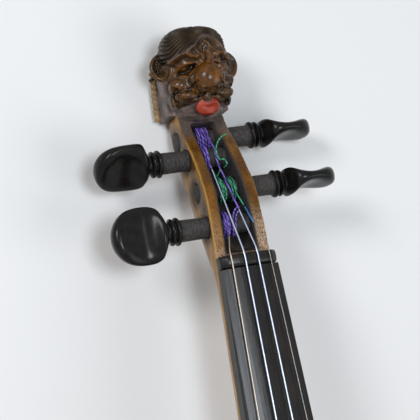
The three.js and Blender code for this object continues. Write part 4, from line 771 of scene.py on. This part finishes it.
def thumb_piece():
    """The flat head of a peg, dished on both faces."""
    cos, sin = np.cos(turn_of(ROUND)), np.sin(turn_of(ROUND))
    rings = []
    for along, width, thick in smooth_path(THUMB_SHARES, THUMB_STEPS):
        dish = THUMB_DISH * math.sin(math.pi * min(max(along, 0), 1)) * width
        x = squared(cos, THUMB_SQUARE) * width * THUMB_WIDTH / 2
        y = np.full(ROUND, -EXPOSURE - COLLAR_LENGTH - along * THUMB_LENGTH)
        z = squared(sin, THUMB_SQUARE) * thick * THUMB_THICKNESS / 2 - dish * sin ** 3
        rings.append(np.column_stack([x, y, z]))
    return loft(rings)


# The neck and its pegbox: the CAD solid with its facets rubbed round, coloured by place

NECK_VOXEL = 0.5
NECK_ROUNDING = 6
NECK_SOFTENING = 16
PEG_HOLE_STAIN = 5
# Stains on the outside of the cheeks: y, z, their length as a share of their height, and how dark.
WALL_STAINS = [(26, -4, 1.3, 1.0), (46, -9, 1.4, 0.8)]
WALL_STAIN_SIZE = 5
NUT_VOXEL = 0.25
NUT_ROUNDING = 10


def neck_material():
    """Golden brown varnish: speckled on the cheeks' fronts, dusty black inside, rubbed tan outside, which on the
    cheeks' outer sides is partly a painted warm reflection.
    """
    n = Nodes("neck_varnish")
    specks = n.noise((2300, 1500, 2300), detail=6.0, rough=0.75, twist=0.6)
    fibres = n.noise((420, 60, 420), detail=5.0, twist=0.4)
    clouds = n.noise((150, 90, 150), detail=4.0)
    patches = n.ramp(clouds, [(0.38, 0.0), (0.62, 1.0)])
    dark_front = n.ramp(specks, [(0.34, (0.02, 0.008, 0.002)), (0.52, (0.08, 0.031, 0.004)),
                                 (0.68, (0.17, 0.074, 0.012))])
    light_front = n.ramp(specks, [(0.32, (0.075, 0.028, 0.002)), (0.66, (0.26, 0.11, 0.01))])
    # The wall colour: the varnish's rubbed tan, which on the cheeks' outer sides also stands for a painted warm
    # reflection.
    wall = n.ramp(fibres, [(0.3, (0.15, 0.068, 0.014)), (0.52, (0.33, 0.17, 0.045)),
                           (0.75, (0.42, 0.24, 0.08))])
    base = n.mix(n.tone("wall"), n.mix(patches, dark_front, light_front), wall)
    stain = n.product(n.tone("stain"), n.ramp(clouds, [(0.3, 0.55), (0.6, 1.0)]))
    base = n.mix(stain, base, (0.012, 0.008, 0.006))
    base = n.mix(n.tone("worn"), base, (0.36, 0.19, 0.035))
    scratches = n.product(n.tone("bare"), n.ramp(specks, [(0.42, 0.0), (0.55, 1.0)]))
    base = n.mix(scratches, base, (0.5, 0.35, 0.23))
    dust = n.ramp(specks, [(0.34, (0.014, 0.012, 0.012)), (0.7, (0.06, 0.054, 0.053))])
    base = n.mix(n.tone("inside"), base, dust)
    tip = n.ramp(specks, [(0.34, (0.03, 0.023, 0.02)), (0.7, (0.15, 0.115, 0.1))])
    base = n.mix(n.tone("tip"), base, tip)
    n.bump(specks, 0.1, 0.6)
    return n.finish(base, n.mix(n.tone("inside"), 0.3, 0.6), coat=n.mix(n.tone("inside"), 0.06, 0.0),
                    coat_rough=0.14, specular=0.15)


def neck_tones(points, normals, relief):
    """Where the neck shows its outside, its inside, rubbed edges, bare wood, stains and the dark tip."""
    x, y, z = points.T
    half = np.interp(y, [0, BOX_LENGTH], [NUT_WIDTH / 2, BOX_WIDTH_AT_HEAD / 2])
    beyond_nut = eased(y, 1, 3)
    outward = normals[:, 0] * np.sign(x)
    upward = normals[:, 2]
    # wall: the outward sides and the handle; on the cheeks' sides its tan is partly a painted reflection.
    wall = np.maximum(eased(outward, 0.45, 0.8), eased(-y, -1, 1))
    inside = eased(half - CHEEK + 0.9 - np.abs(x), 0, 0.5) * eased(y, 2, 4) * eased(68 - y, 0, 1)
    inside *= eased(-outward, -0.3, 0.2)
    worn = eased(relief, 0.1, 0.3) * eased(np.abs(x) - half, -1.1, -0.5) * np.where(x < 0, 1.0, 0.35)
    worn *= eased(upward, 0.1, 0.4) * eased(60 - y, 0, 10) * beyond_nut
    front = eased(upward, 0.3, 0.6) * beyond_nut
    bare = np.maximum(eased(27 - y, 0, 14) * np.where(x > 0, 1.0, 0.3), 0.75 * eased(11 - y, 0, 3)) * front
    stain = np.zeros(len(points))
    for peg in PEGS.values():
        away = np.hypot(y - peg["y"], (z - peg["z"]) * 0.8)
        stain = np.maximum(stain, eased(SHAFT_RADIUS + PEG_HOLE_STAIN - away, 0, PEG_HOLE_STAIN))
    for middle_y, middle_z, long, dark in WALL_STAINS:
        away = np.hypot((y - middle_y) / long, z - middle_z)
        stain = np.maximum(stain, dark * bell(away, WALL_STAIN_SIZE))
    return {"wall": wall, "inside": inside, "worn": worn, "bare": bare, "stain": stain * wall * beyond_nut,
            "tip": eased(y, 54, 62) * (1 - wall)}


def add_neck():
    points, faces = skin_of_node("neck", NECK_VOXEL)
    edges = neighbours(faces)
    points = relaxed(points, edges, NECK_ROUNDING)
    normals = normals_of(points, faces)
    relief = np.einsum("ij,ij->i", points - relaxed(points, edges, NECK_SOFTENING), normals)
    neck = on_neck("neck_carved", points, faces, neck_material())
    give_tones(neck, neck_tones(points, normals, relief))
    stand_in(neck, "neck", "violin")


def add_nut():
    """The nut with its edges rubbed round."""
    points, faces = skin_of_node("nut", NUT_VOXEL)
    points = relaxed(points, neighbours(faces), NUT_ROUNDING)
    nut = on_neck("nut_rubbed", points, faces, MATERIALS["ebony"])
    stand_in(nut, "nut", "violin")


add_neck()
add_nut()


def peg_material():
    """Polished ebony, chalky and grey on the shaft."""
    n = Nodes("peg_ebony")
    fibres = n.noise((300, 300, 300), detail=6.0)
    dust = n.noise((1400, 500, 1400), detail=6.0, rough=0.7)
    gloss = n.ramp(fibres, [(0.35, 0.004), (0.75, (0.012, 0.011, 0.01))])
    chalk = n.ramp(dust, [(0.35, (0.018, 0.017, 0.017)), (0.7, (0.074, 0.066, 0.063))])
    shaft = n.tone("shaft")
    n.bump(dust, 0.02)
    return n.finish(n.mix(shaft, gloss, chalk), n.mix(shaft, 0.2, 0.62), specular=0.13)


PEG_MATERIAL = peg_material()
PEG_SHARP_ANGLE = math.radians(50)
# Half the length over which chalk fades at the collar.
CHALK_FADE = 0.4


def add_peg(name, peg):
    points, faces = gathered([peg_body(peg), thumb_piece()])
    obj = on_neck(f"{name}_peg_turned", placed(points, peg_matrix(peg)), faces, PEG_MATERIAL)
    obj.data.set_sharp_from_angle(angle=PEG_SHARP_ANGLE)
    give_tones(obj, {"shaft": eased(points[:, 1], -EXPOSURE - CHALK_FADE, -EXPOSURE + CHALK_FADE)})
    stand_in(obj, f"{name}_peg", f"{name}_peg")


# Silk wound on the pegs, and the strings

SILK_GAP = 0.12
# The two layers' pitches in radii of the thread, and how far it wanders along the peg.
TIGHT = {"radius": 0.42, "pitches": (2.1, 3.0), "wander": 0.06}
LOOSE = {"radius": 0.31, "pitches": (3.6, 5.2), "wander": 0.3}
# Shares of the box's inner half width between which the silk lies, its colour and how it is laid.
WINDINGS = {
    "g": [(-0.85, -0.36, PURPLE, TIGHT, "g_peg_winding")],
    "d": [(-0.85, -0.34, PURPLE, TIGHT, "d_peg_winding")],
    "a": [(-0.6, 0.66, PURPLE, TIGHT, "a_peg_winding")],
    "e": [(-0.42, 0.16, GREEN, LOOSE, "e_peg_winding"), (0.46, 0.84, GREEN, LOOSE, "e_peg_winding_end")],
}
# Steps in one turn of the thread, its sides, and the second layer's rise over the first, in radii, and
# turn from it.
TURN_STEPS = 22
SILK_SIDES = 8
LAYER_RISE = 1.75
LAYER_TURN = 0.9


def unevenness(angle, layer):
    """How far a thread laid by hand stands off its round, in millimetres."""
    return 0.07 * math.sin(1.55 * angle + layer) + 0.05 * math.sin(1.3 * angle)


def coil(peg, low, high, lay):
    """Silk laid turn by turn, then back over itself at a slant."""
    half = box_half(peg["y"])
    inner = half - CHEEK
    ends = sorted(half - peg["side"] * share * inner for share in (low, high))
    path = []
    radius, wander = lay["radius"], lay["wander"]
    margin = radius + wander
    for layer, pitch in enumerate(lay["pitches"]):
        start, end = ends[0] + margin, ends[1] - margin
        if layer % 2:
            start, end = end, start
        turns = abs(end - start) / (pitch * radius)
        count = max(int(turns * TURN_STEPS), TURN_STEPS)
        lift = shaft_radius(half) + SILK_GAP + radius * (1 + LAYER_RISE * layer)
        for k in range(count + 1):
            angle = 2 * math.pi * k / TURN_STEPS + layer * LAYER_TURN
            along = start + (end - start) * k / count + wander * math.sin(1.7 * angle + 2 * layer)
            r = lift + unevenness(angle, layer)
            path.append((r * math.cos(angle), along, r * math.sin(angle)))
    return np.array(path)


def add_windings(name, peg):
    for low, high, silk, lay, node in WINDINGS[name]:
        path = coil(peg, low, high, lay)
        points, faces = tube(placed(path, peg_matrix(peg)), lay["radius"], SILK_SIDES)
        obj = on_neck(f"{node}_silk", points, faces, silk)
        stand_in(obj, node, f"{name}_peg")


for peg_name, peg in PEGS.items():
    add_peg(peg_name, peg)
for peg_name, peg in PEGS.items():
    add_windings(peg_name, peg)

# The strings' routes in the row frame, from the peg over nut and bridge to the tailpiece or the tuner.
ROUTES = {
    "g": [(-3.9, 216.8, 40.9), (-3.9, 212.6, 41.3), (-8.2, 203.5, 49.4), (-8.2, 200.8, 50.4),
          (-8.2, 198.1, 50.7), (-16.7, -117.2, 91.8), (-16.9, -127, 93), (-16.9, -129.8, 93),
          (-12.4, -176.2, 78.8), (-12.4, -180.9, 77.5), (-12.4, -184.4, 76.8), (-12.4, -184.9, 71.5)],
    "d": [(-3.4, 245.4, 27.7), (-3.4, 241.2, 28.2), (-2.8, 203.6, 50.2), (-2.8, 200.9, 51.2),
          (-2.8, 198.2, 51.5), (-5.6, -117.2, 94.9), (-5.7, -127, 96.1), (-5.7, -129.8, 96.1),
          (-4.1, -176.2, 80.6), (-4.1, -180.9, 79.3), (-4.1, -184.4, 78.6), (-4.1, -184.9, 73.3)],
    "a": [(0.2, 253.7, 18.1), (0.6, 245.8, 26.9), (0.6, 240.5, 27.5), (2.8, 203.6, 50.1), (2.8, 200.8, 51.1),
          (2.8, 198.2, 51.4), (5.6, -117.2, 94.8), (5.7, -127, 96.1), (5.7, -129.8, 96.1),
          (4.1, -176.3, 80.4), (4.1, -180.9, 79.1), (4.1, -184.4, 78.5), (4.1, -184.9, 73.3)],
    "e": [(3.9, 231.1, 34), (3.9, 227.1, 34.5), (8.2, 203.5, 49.2), (8.2, 200.7, 50.2), (8.2, 198.1, 50.5),
          (16.7, -117.2, 91.5), (16.9, -127, 92.8), (16.9, -129.8, 92.8), (10.3, -178.1, 88), (8, -182.5, 88),
          (8, -185.9, 88), (10.7, -186.8, 88), (13.4, -185.9, 88), (13.4, -182.5, 88), (11.6, -179.8, 88),
          (10.8, -177.6, 88.1), (11.3, -173.5, 88.5)],
}
BRONZE_WIRE = metal("bronze_wire", (0.42, 0.37, 0.31), 0.34, (900, 2500, 900))
SILVER_WIRE = metal("silver_wire", (0.5, 0.56, 0.7), 0.28, (900, 2500, 900))
DARK_WIRE = metal("dark_wire", (0.26, 0.25, 0.24), 0.3, (900, 900, 900))
# The wire and its radius, then the silk from the peg: its radius, and how far down each colour goes.
STRINGS = {
    "g": (BRONZE_WIRE, 0.3, 0.32, [(13.5, PURPLE)]),
    "d": (SILVER_WIRE, 0.36, 0.36, [(43, PURPLE)]),
    "a": (SILVER_WIRE, 0.34, 0.38, [(24, PURPLE)]),
    "e": (DARK_WIRE, 0.18, 0.33, [(25, GREEN), (17, BLUE)]),
}
# How far a wire begins inside its silk, and how the silk's two strands are twisted.
LEAD_OVERLAP = 0.4
LEAD_TWIST = 3.2
LEAD_FLUTE = 0.2
ROUTE_STEP = 0.8
BEND_ROUNDING = 4


def routed(points):
    """A string's middle line, rounded at its bends."""
    points = np.asarray(points, float)
    path = []
    for a, b in zip(points[:-1], points[1:]):
        count = max(1, round(np.linalg.norm(b - a) / ROUTE_STEP))
        path += [a + (b - a) * i / count for i in range(count)]
    path = np.array(path + [points[-1]])
    for _ in range(BEND_ROUNDING):
        path[1:-1] += 0.5 * ((path[:-2] + path[2:]) / 2 - path[1:-1])
    return path


def add_lead(name, path, radius, silk):
    """Two strands of silk laid round each other."""
    points, faces = tube(path, radius, twist=LEAD_TWIST, flute=LEAD_FLUTE)
    lead = dress(mesh_object(name, points * MM, faces), silk)
    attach(lead, "violin")


def add_string(name):
    wire, radius, silk_radius, leads = STRINGS[name]
    path = routed(ROUTES[name])
    along = to_neck(path * MM)[:, 1]
    start = math.inf
    for k, (end, silk) in enumerate(leads):
        add_lead(f"{name}_lead_{k}", path[(along < start + LEAD_OVERLAP) & (along > end)], silk_radius, silk)
        start = end
    points, faces = tube(path[along < start + LEAD_OVERLAP], radius)
    string = dress(mesh_object(f"{name}_string_wire", points * MM, faces), wire)
    stand_in(string, f"{name}_string", "violin")


for string_name in STRINGS:
    add_string(string_name)

# Loose silk in the pegbox, in the neck frame: its colour, its radius and its points.
LOOSE_SILK = [
    (GREEN, 0.3,
     [(6, 56.4, -7.6), (4.6, 56.2, -8.5), (3.3, 55.4, -9.4), (1.7, 53.4, -9.7), (0.6, 51, -9.2),
      (0.5, 48.5, -8.9), (0.9, 46.6, -8.3), (1.5, 46.1, -7.5), (2.3, 46.1, -6.9), (3.0, 45, -6.6),
      (3.2, 43.8, -7.2), (2.8, 43.2, -9.7)]),
    (GREEN, 0.28,
     [(-1.2, 42.2, -12.4), (-1.5, 40, -9.4), (-1.7, 36.9, -4.6)]),
    (GREEN, 0.28,
     [(-1.6, 41.2, -3.4), (-1.3, 39.8, -8.2), (-1, 38.2, -13)]),
    (GREEN, 0.3,
     [(-1.9, 38.4, -8.6), (-1.7, 36.2, -6.1), (-1.5, 33.6, -5.4), (-1.4, 31.2, -6),
      (-1.1, 29.3, -7.2), (-0.4, 29.2, -6.9), (0, 31.2, -5.6), (0, 33.6, -5.3), (-0.4, 35.8, -5.9)]),
    (GREEN, 0.3,
     [(2.2, 38.2, -8.6), (2.4, 36, -5.9), (2.9, 33, -5.3), (3.1, 30.2, -6.8), (3.5, 28.9, -8),
      (4, 29.6, -6.8), (4.2, 32, -5.3), (4.5, 35, -5.2)]),
    (PURPLE, 0.3,
     [(1.8, 24.6, 0.9), (0.6, 24.4, 0.3), (-0.5, 22.9, -0.2), (-1.2, 20.6, -0.7),
      (-1.6, 18, -0.8), (-1.5, 15.4, -2), (-1.2, 14, -4), (-0.8, 14.5, -2.5), (-0.5, 17, -0.9),
      (-0.2, 19.6, -0.7), (0.4, 22, 0.1), (1.4, 23.2, 0.6)]),
    (PURPLE, 0.3,
     [(-4.9, 24, -3), (-5, 22.2, -0.6), (-4.6, 18.8, -0.3), (-4.1, 15.2, -1.8), (-3.6, 13.8, -4),
      (-3.2, 14.6, -2.2), (-3.3, 18, -0.3), (-3.6, 21.8, -0.5), (-3.5, 23.8, -3)]),
]
for k, (silk, radius, points) in enumerate(LOOSE_SILK):
    add_lead(f"loose_silk_{k}", from_neck(smooth_path(points, steps=8)) / MM, radius, silk)

# Purfling, in millimetres: two dark strips and a pale one between them, let into the plates

PURFLING_INSET = 4
PURFLING_STEP = 2
# How far a place may lie short of the full inset where the edge turns sharply.
INSET_SLACK = 0.15
# A plate's face looks up by more than the first, and its sides by less than the second.
FACE_TILT = 0.15
SIDE_TILT = 0.05
# In metres: points nearer to each other than this are one.
WELD = 1e-6
# Each strip's middle as seen from the purfling's.
PURFLING_STRIPS = {"ebony": [-0.5, 0.5], "bare_wood": [0]}
STRIP_WIDTH = 0.5
STRIP_PROUD = 0.04
STRIP_DEPTH = 0.3
# The saddle and the neck lie over the purfling here.
COVERED_HALF = 19
COVERED_LENGTH = 14


def outer_edge(mesh, up):
    """The longest closed line where a plate's face meets its sides."""
    ahead = {}
    for edge in mesh.edges:
        tilts = [up * face.normal.z for face in edge.link_faces]
        if len(tilts) == 2 and max(tilts) > FACE_TILT and abs(min(tilts)) < SIDE_TILT:
            a, b = edge.verts
            ahead.setdefault(a, []).append(b)
            ahead.setdefault(b, []).append(a)
    lines = []
    unseen = dict.fromkeys(sorted(ahead, key=lambda v: v.index))
    while unseen:
        line = [next(iter(unseen))]
        while line[-1] in unseen:
            del unseen[line[-1]]
            line += [v for v in ahead[line[-1]] if v in unseen][:1]
        lines.append(np.array([v.co.xy for v in line]) / MM)
    return max(lines, key=lambda line: np.ptp(line, axis=0).sum())


def evenly(line, step):
    """A closed line in equal steps."""
    line = np.concatenate([line, line[:1]])
    along = np.concatenate([[0], np.cumsum(np.linalg.norm(np.diff(line, axis=0), axis=1))])
    places = np.linspace(0, along[-1], round(along[-1] / step), endpoint=False)
    return np.stack([np.interp(places, along, axis) for axis in line.T], axis=1)


def inwards(line):
    """The way to the inside at each point of a closed line."""
    run = np.roll(line, -1, axis=0) - np.roll(line, 1, axis=0)
    turned = np.stack([-run[:, 1], run[:, 0]], axis=1) / np.linalg.norm(run, axis=1)[:, None]
    area = np.sum(line[:, 0] * np.roll(line[:, 1], -1) - line[:, 1] * np.roll(line[:, 0], -1))
    return turned * np.sign(area)


def heights_under(line, surface, up):
    """The surface's height at each point of a closed line, carried over its gaps."""
    places = [surface.ray_cast(Vector((x * MM, y * MM, up)), Vector((0, 0, -up)))[0] for x, y in line]
    steps = np.arange(len(line))
    met = [k for k in steps if places[k]]
    return np.interp(steps, met, [places[k].z / MM for k in met], period=len(line))


def plate_surface(plate, up):
    """A plate's skin to send rays at, and its outer edge."""
    mesh = bmesh.new()
    mesh.from_mesh(NODES[plate].data)
    mesh.transform(NODES[plate].matrix_world)
    bmesh.ops.remove_doubles(mesh, verts=mesh.verts, dist=WELD)
    mesh.verts.index_update()
    mesh.normal_update()
    surface = BVHTree.FromBMesh(mesh)
    edge = outer_edge(mesh, up)
    mesh.free()
    return surface, edge


def purfling_line(edge):
    """A line all round inside the edge, straight across what the neck and the saddle cover."""
    low, high = edge[:, 1].min() + COVERED_LENGTH, edge[:, 1].max() - COVERED_LENGTH
    covered = (np.abs(edge[:, 0]) < COVERED_HALF) & ((edge[:, 1] < low) | (edge[:, 1] > high))
    edge = evenly(edge[~covered], PURFLING_STEP)
    middle = edge + PURFLING_INSET * inwards(edge)
    room = np.linalg.norm(middle[:, None] - edge[None], axis=2).min(axis=1)
    return evenly(middle[room > PURFLING_INSET - INSET_SLACK], PURFLING_STEP)


def strip_ring(middle, across, surface, up):
    """A closed strip on a line: sunk into the plate, and a little proud of it."""
    borders = [middle + half * across for half in (-STRIP_WIDTH / 2, STRIP_WIDTH / 2)]
    sides = [np.column_stack([line, heights_under(line, surface, up)]) for line in borders]
    proud, sunk = np.array([0, 0, up * STRIP_PROUD]), np.array([0, 0, -up * STRIP_DEPTH])
    rings = np.stack([sides[0] + sunk, sides[0] + proud, sides[1] + proud, sides[1] + sunk], axis=1)
    return rings.reshape(-1, 3) * MM, grid_faces(len(rings), 4, closed_rows=True)


def add_purfling(plate, up):
    surface, edge = plate_surface(plate, up)
    middle = purfling_line(edge)
    across = inwards(middle)
    for slot, places in PURFLING_STRIPS.items():
        strips = [strip_ring(middle + place * across, across, surface, up) for place in places]
        points, faces = gathered(strips)
        strip = dress(mesh_object(f"{plate}_purfling_{slot}", points, faces, smooth=False), MATERIALS[slot])
        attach(strip, "violin")


add_purfling("top_plate", 1)
add_purfling("back_plate", -1)

# Camera, lamps, world and floor

# Fitted to the photo, in the neck frame. The nearest thing that it sees is in metres.
CAMERA_PLACE = (-206.8, -50.0, 514.7)
CAMERA_LOOK = (0.3532, 0.1350, -0.9257)
CAMERA_UP = (0.1244, 0.9740, 0.1895)
CAMERA_LENS = 120
CAMERA_SENSOR = 36
CAMERA_NEAR = 0.01


def add_camera():
    data = bpy.data.cameras.new("camera")
    data.lens = CAMERA_LENS
    data.sensor_width = CAMERA_SENSOR
    data.sensor_fit = "HORIZONTAL"
    data.clip_start = CAMERA_NEAR
    camera = linked("camera", data)
    look = (NECK_TURN @ Vector(CAMERA_LOOK)).normalized()
    up = (NECK_TURN @ Vector(CAMERA_UP)).normalized()
    right = look.cross(up).normalized()
    up = right.cross(look)
    turn = Matrix((right, up, -look)).transposed()
    camera.matrix_world = Matrix.Translation(Vector(from_neck(CAMERA_PLACE))) @ turn.to_4x4()
    SCENE.camera = camera


HEAD_PLACE = Vector(from_neck((0, 60, -10)))
BOARD_PLACE = Vector(from_neck((-8, -60, 5)))
WHITE = (1, 1, 1)
# Each lamp's place, what it looks at, its size, its power and its colour.
LAMPS = {
    "key": (HEAD_PLACE + Vector((-0.8, 0.45, 0.8)), HEAD_PLACE, 0.35, 7, WHITE),
    "fill": (HEAD_PLACE + Vector((0.7, -0.5, 0.9)), HEAD_PLACE, 0.7, 4.5, WHITE),
    "sheen": (Vector(from_neck((-75, -60, 1000))), BOARD_PLACE, 0.25, 5, (0.86, 0.93, 1)),
}


def add_lamp(name, place, target, size, power, colour):
    data = bpy.data.lights.new(name, "AREA")
    data.energy = power
    data.size = size
    data.color = colour
    lamp = linked(name, data)
    lamp.location = place
    lamp.rotation_euler = (target - place).to_track_quat("-Z", "Y").to_euler()


WORLD_LIGHT = 0.2


def add_world():
    """White where it is seen directly or in gloss, softer as a light."""
    world = bpy.data.worlds.new("world")
    SCENE.world = world
    world.use_nodes = True
    tree = world.node_tree
    background = tree.nodes["Background"]
    background.inputs["Color"].default_value = rgba(WHITE)
    path = tree.nodes.new("ShaderNodeLightPath")
    seen = path.outputs["Is Camera Ray"]
    for ray in ("Is Glossy Ray", "Is Transmission Ray"):
        either = tree.nodes.new("ShaderNodeMath")
        either.operation = "MAXIMUM"
        tree.links.new(seen, either.inputs[0])
        tree.links.new(path.outputs[ray], either.inputs[1])
        seen = either.outputs[0]
    strength = tree.nodes.new("ShaderNodeMapRange")
    strength.inputs["To Min"].default_value = WORLD_LIGHT
    strength.inputs["To Max"].default_value = 1.0
    tree.links.new(seen, strength.inputs["Value"])
    tree.links.new(strength.outputs["Result"], background.inputs["Strength"])


# In metres.
FLOOR_HALF = 6
FLOOR_DROP = 0.0005


def add_floor():
    corners = [(x * FLOOR_HALF, y * FLOOR_HALF, 0) for x, y in ((-1, -1), (1, -1), (1, 1), (-1, 1))]
    floor = mesh_object("floor", corners, [(0, 1, 2, 3)], smooth=False)
    floor.location.z = -FLOOR_DROP
    n = Nodes("floor")
    shade = n.ramp(n.noise((3, 3, 3), detail=2.0), [(0.3, 0.76), (0.7, 0.8)])
    return dress(floor, n.finish(shade, 0.9))


add_camera()
add_world()
floor = add_floor()
for lamp_name, lamp in LAMPS.items():
    add_lamp(lamp_name, *lamp)
SCENE.view_settings.view_transform = "Standard"
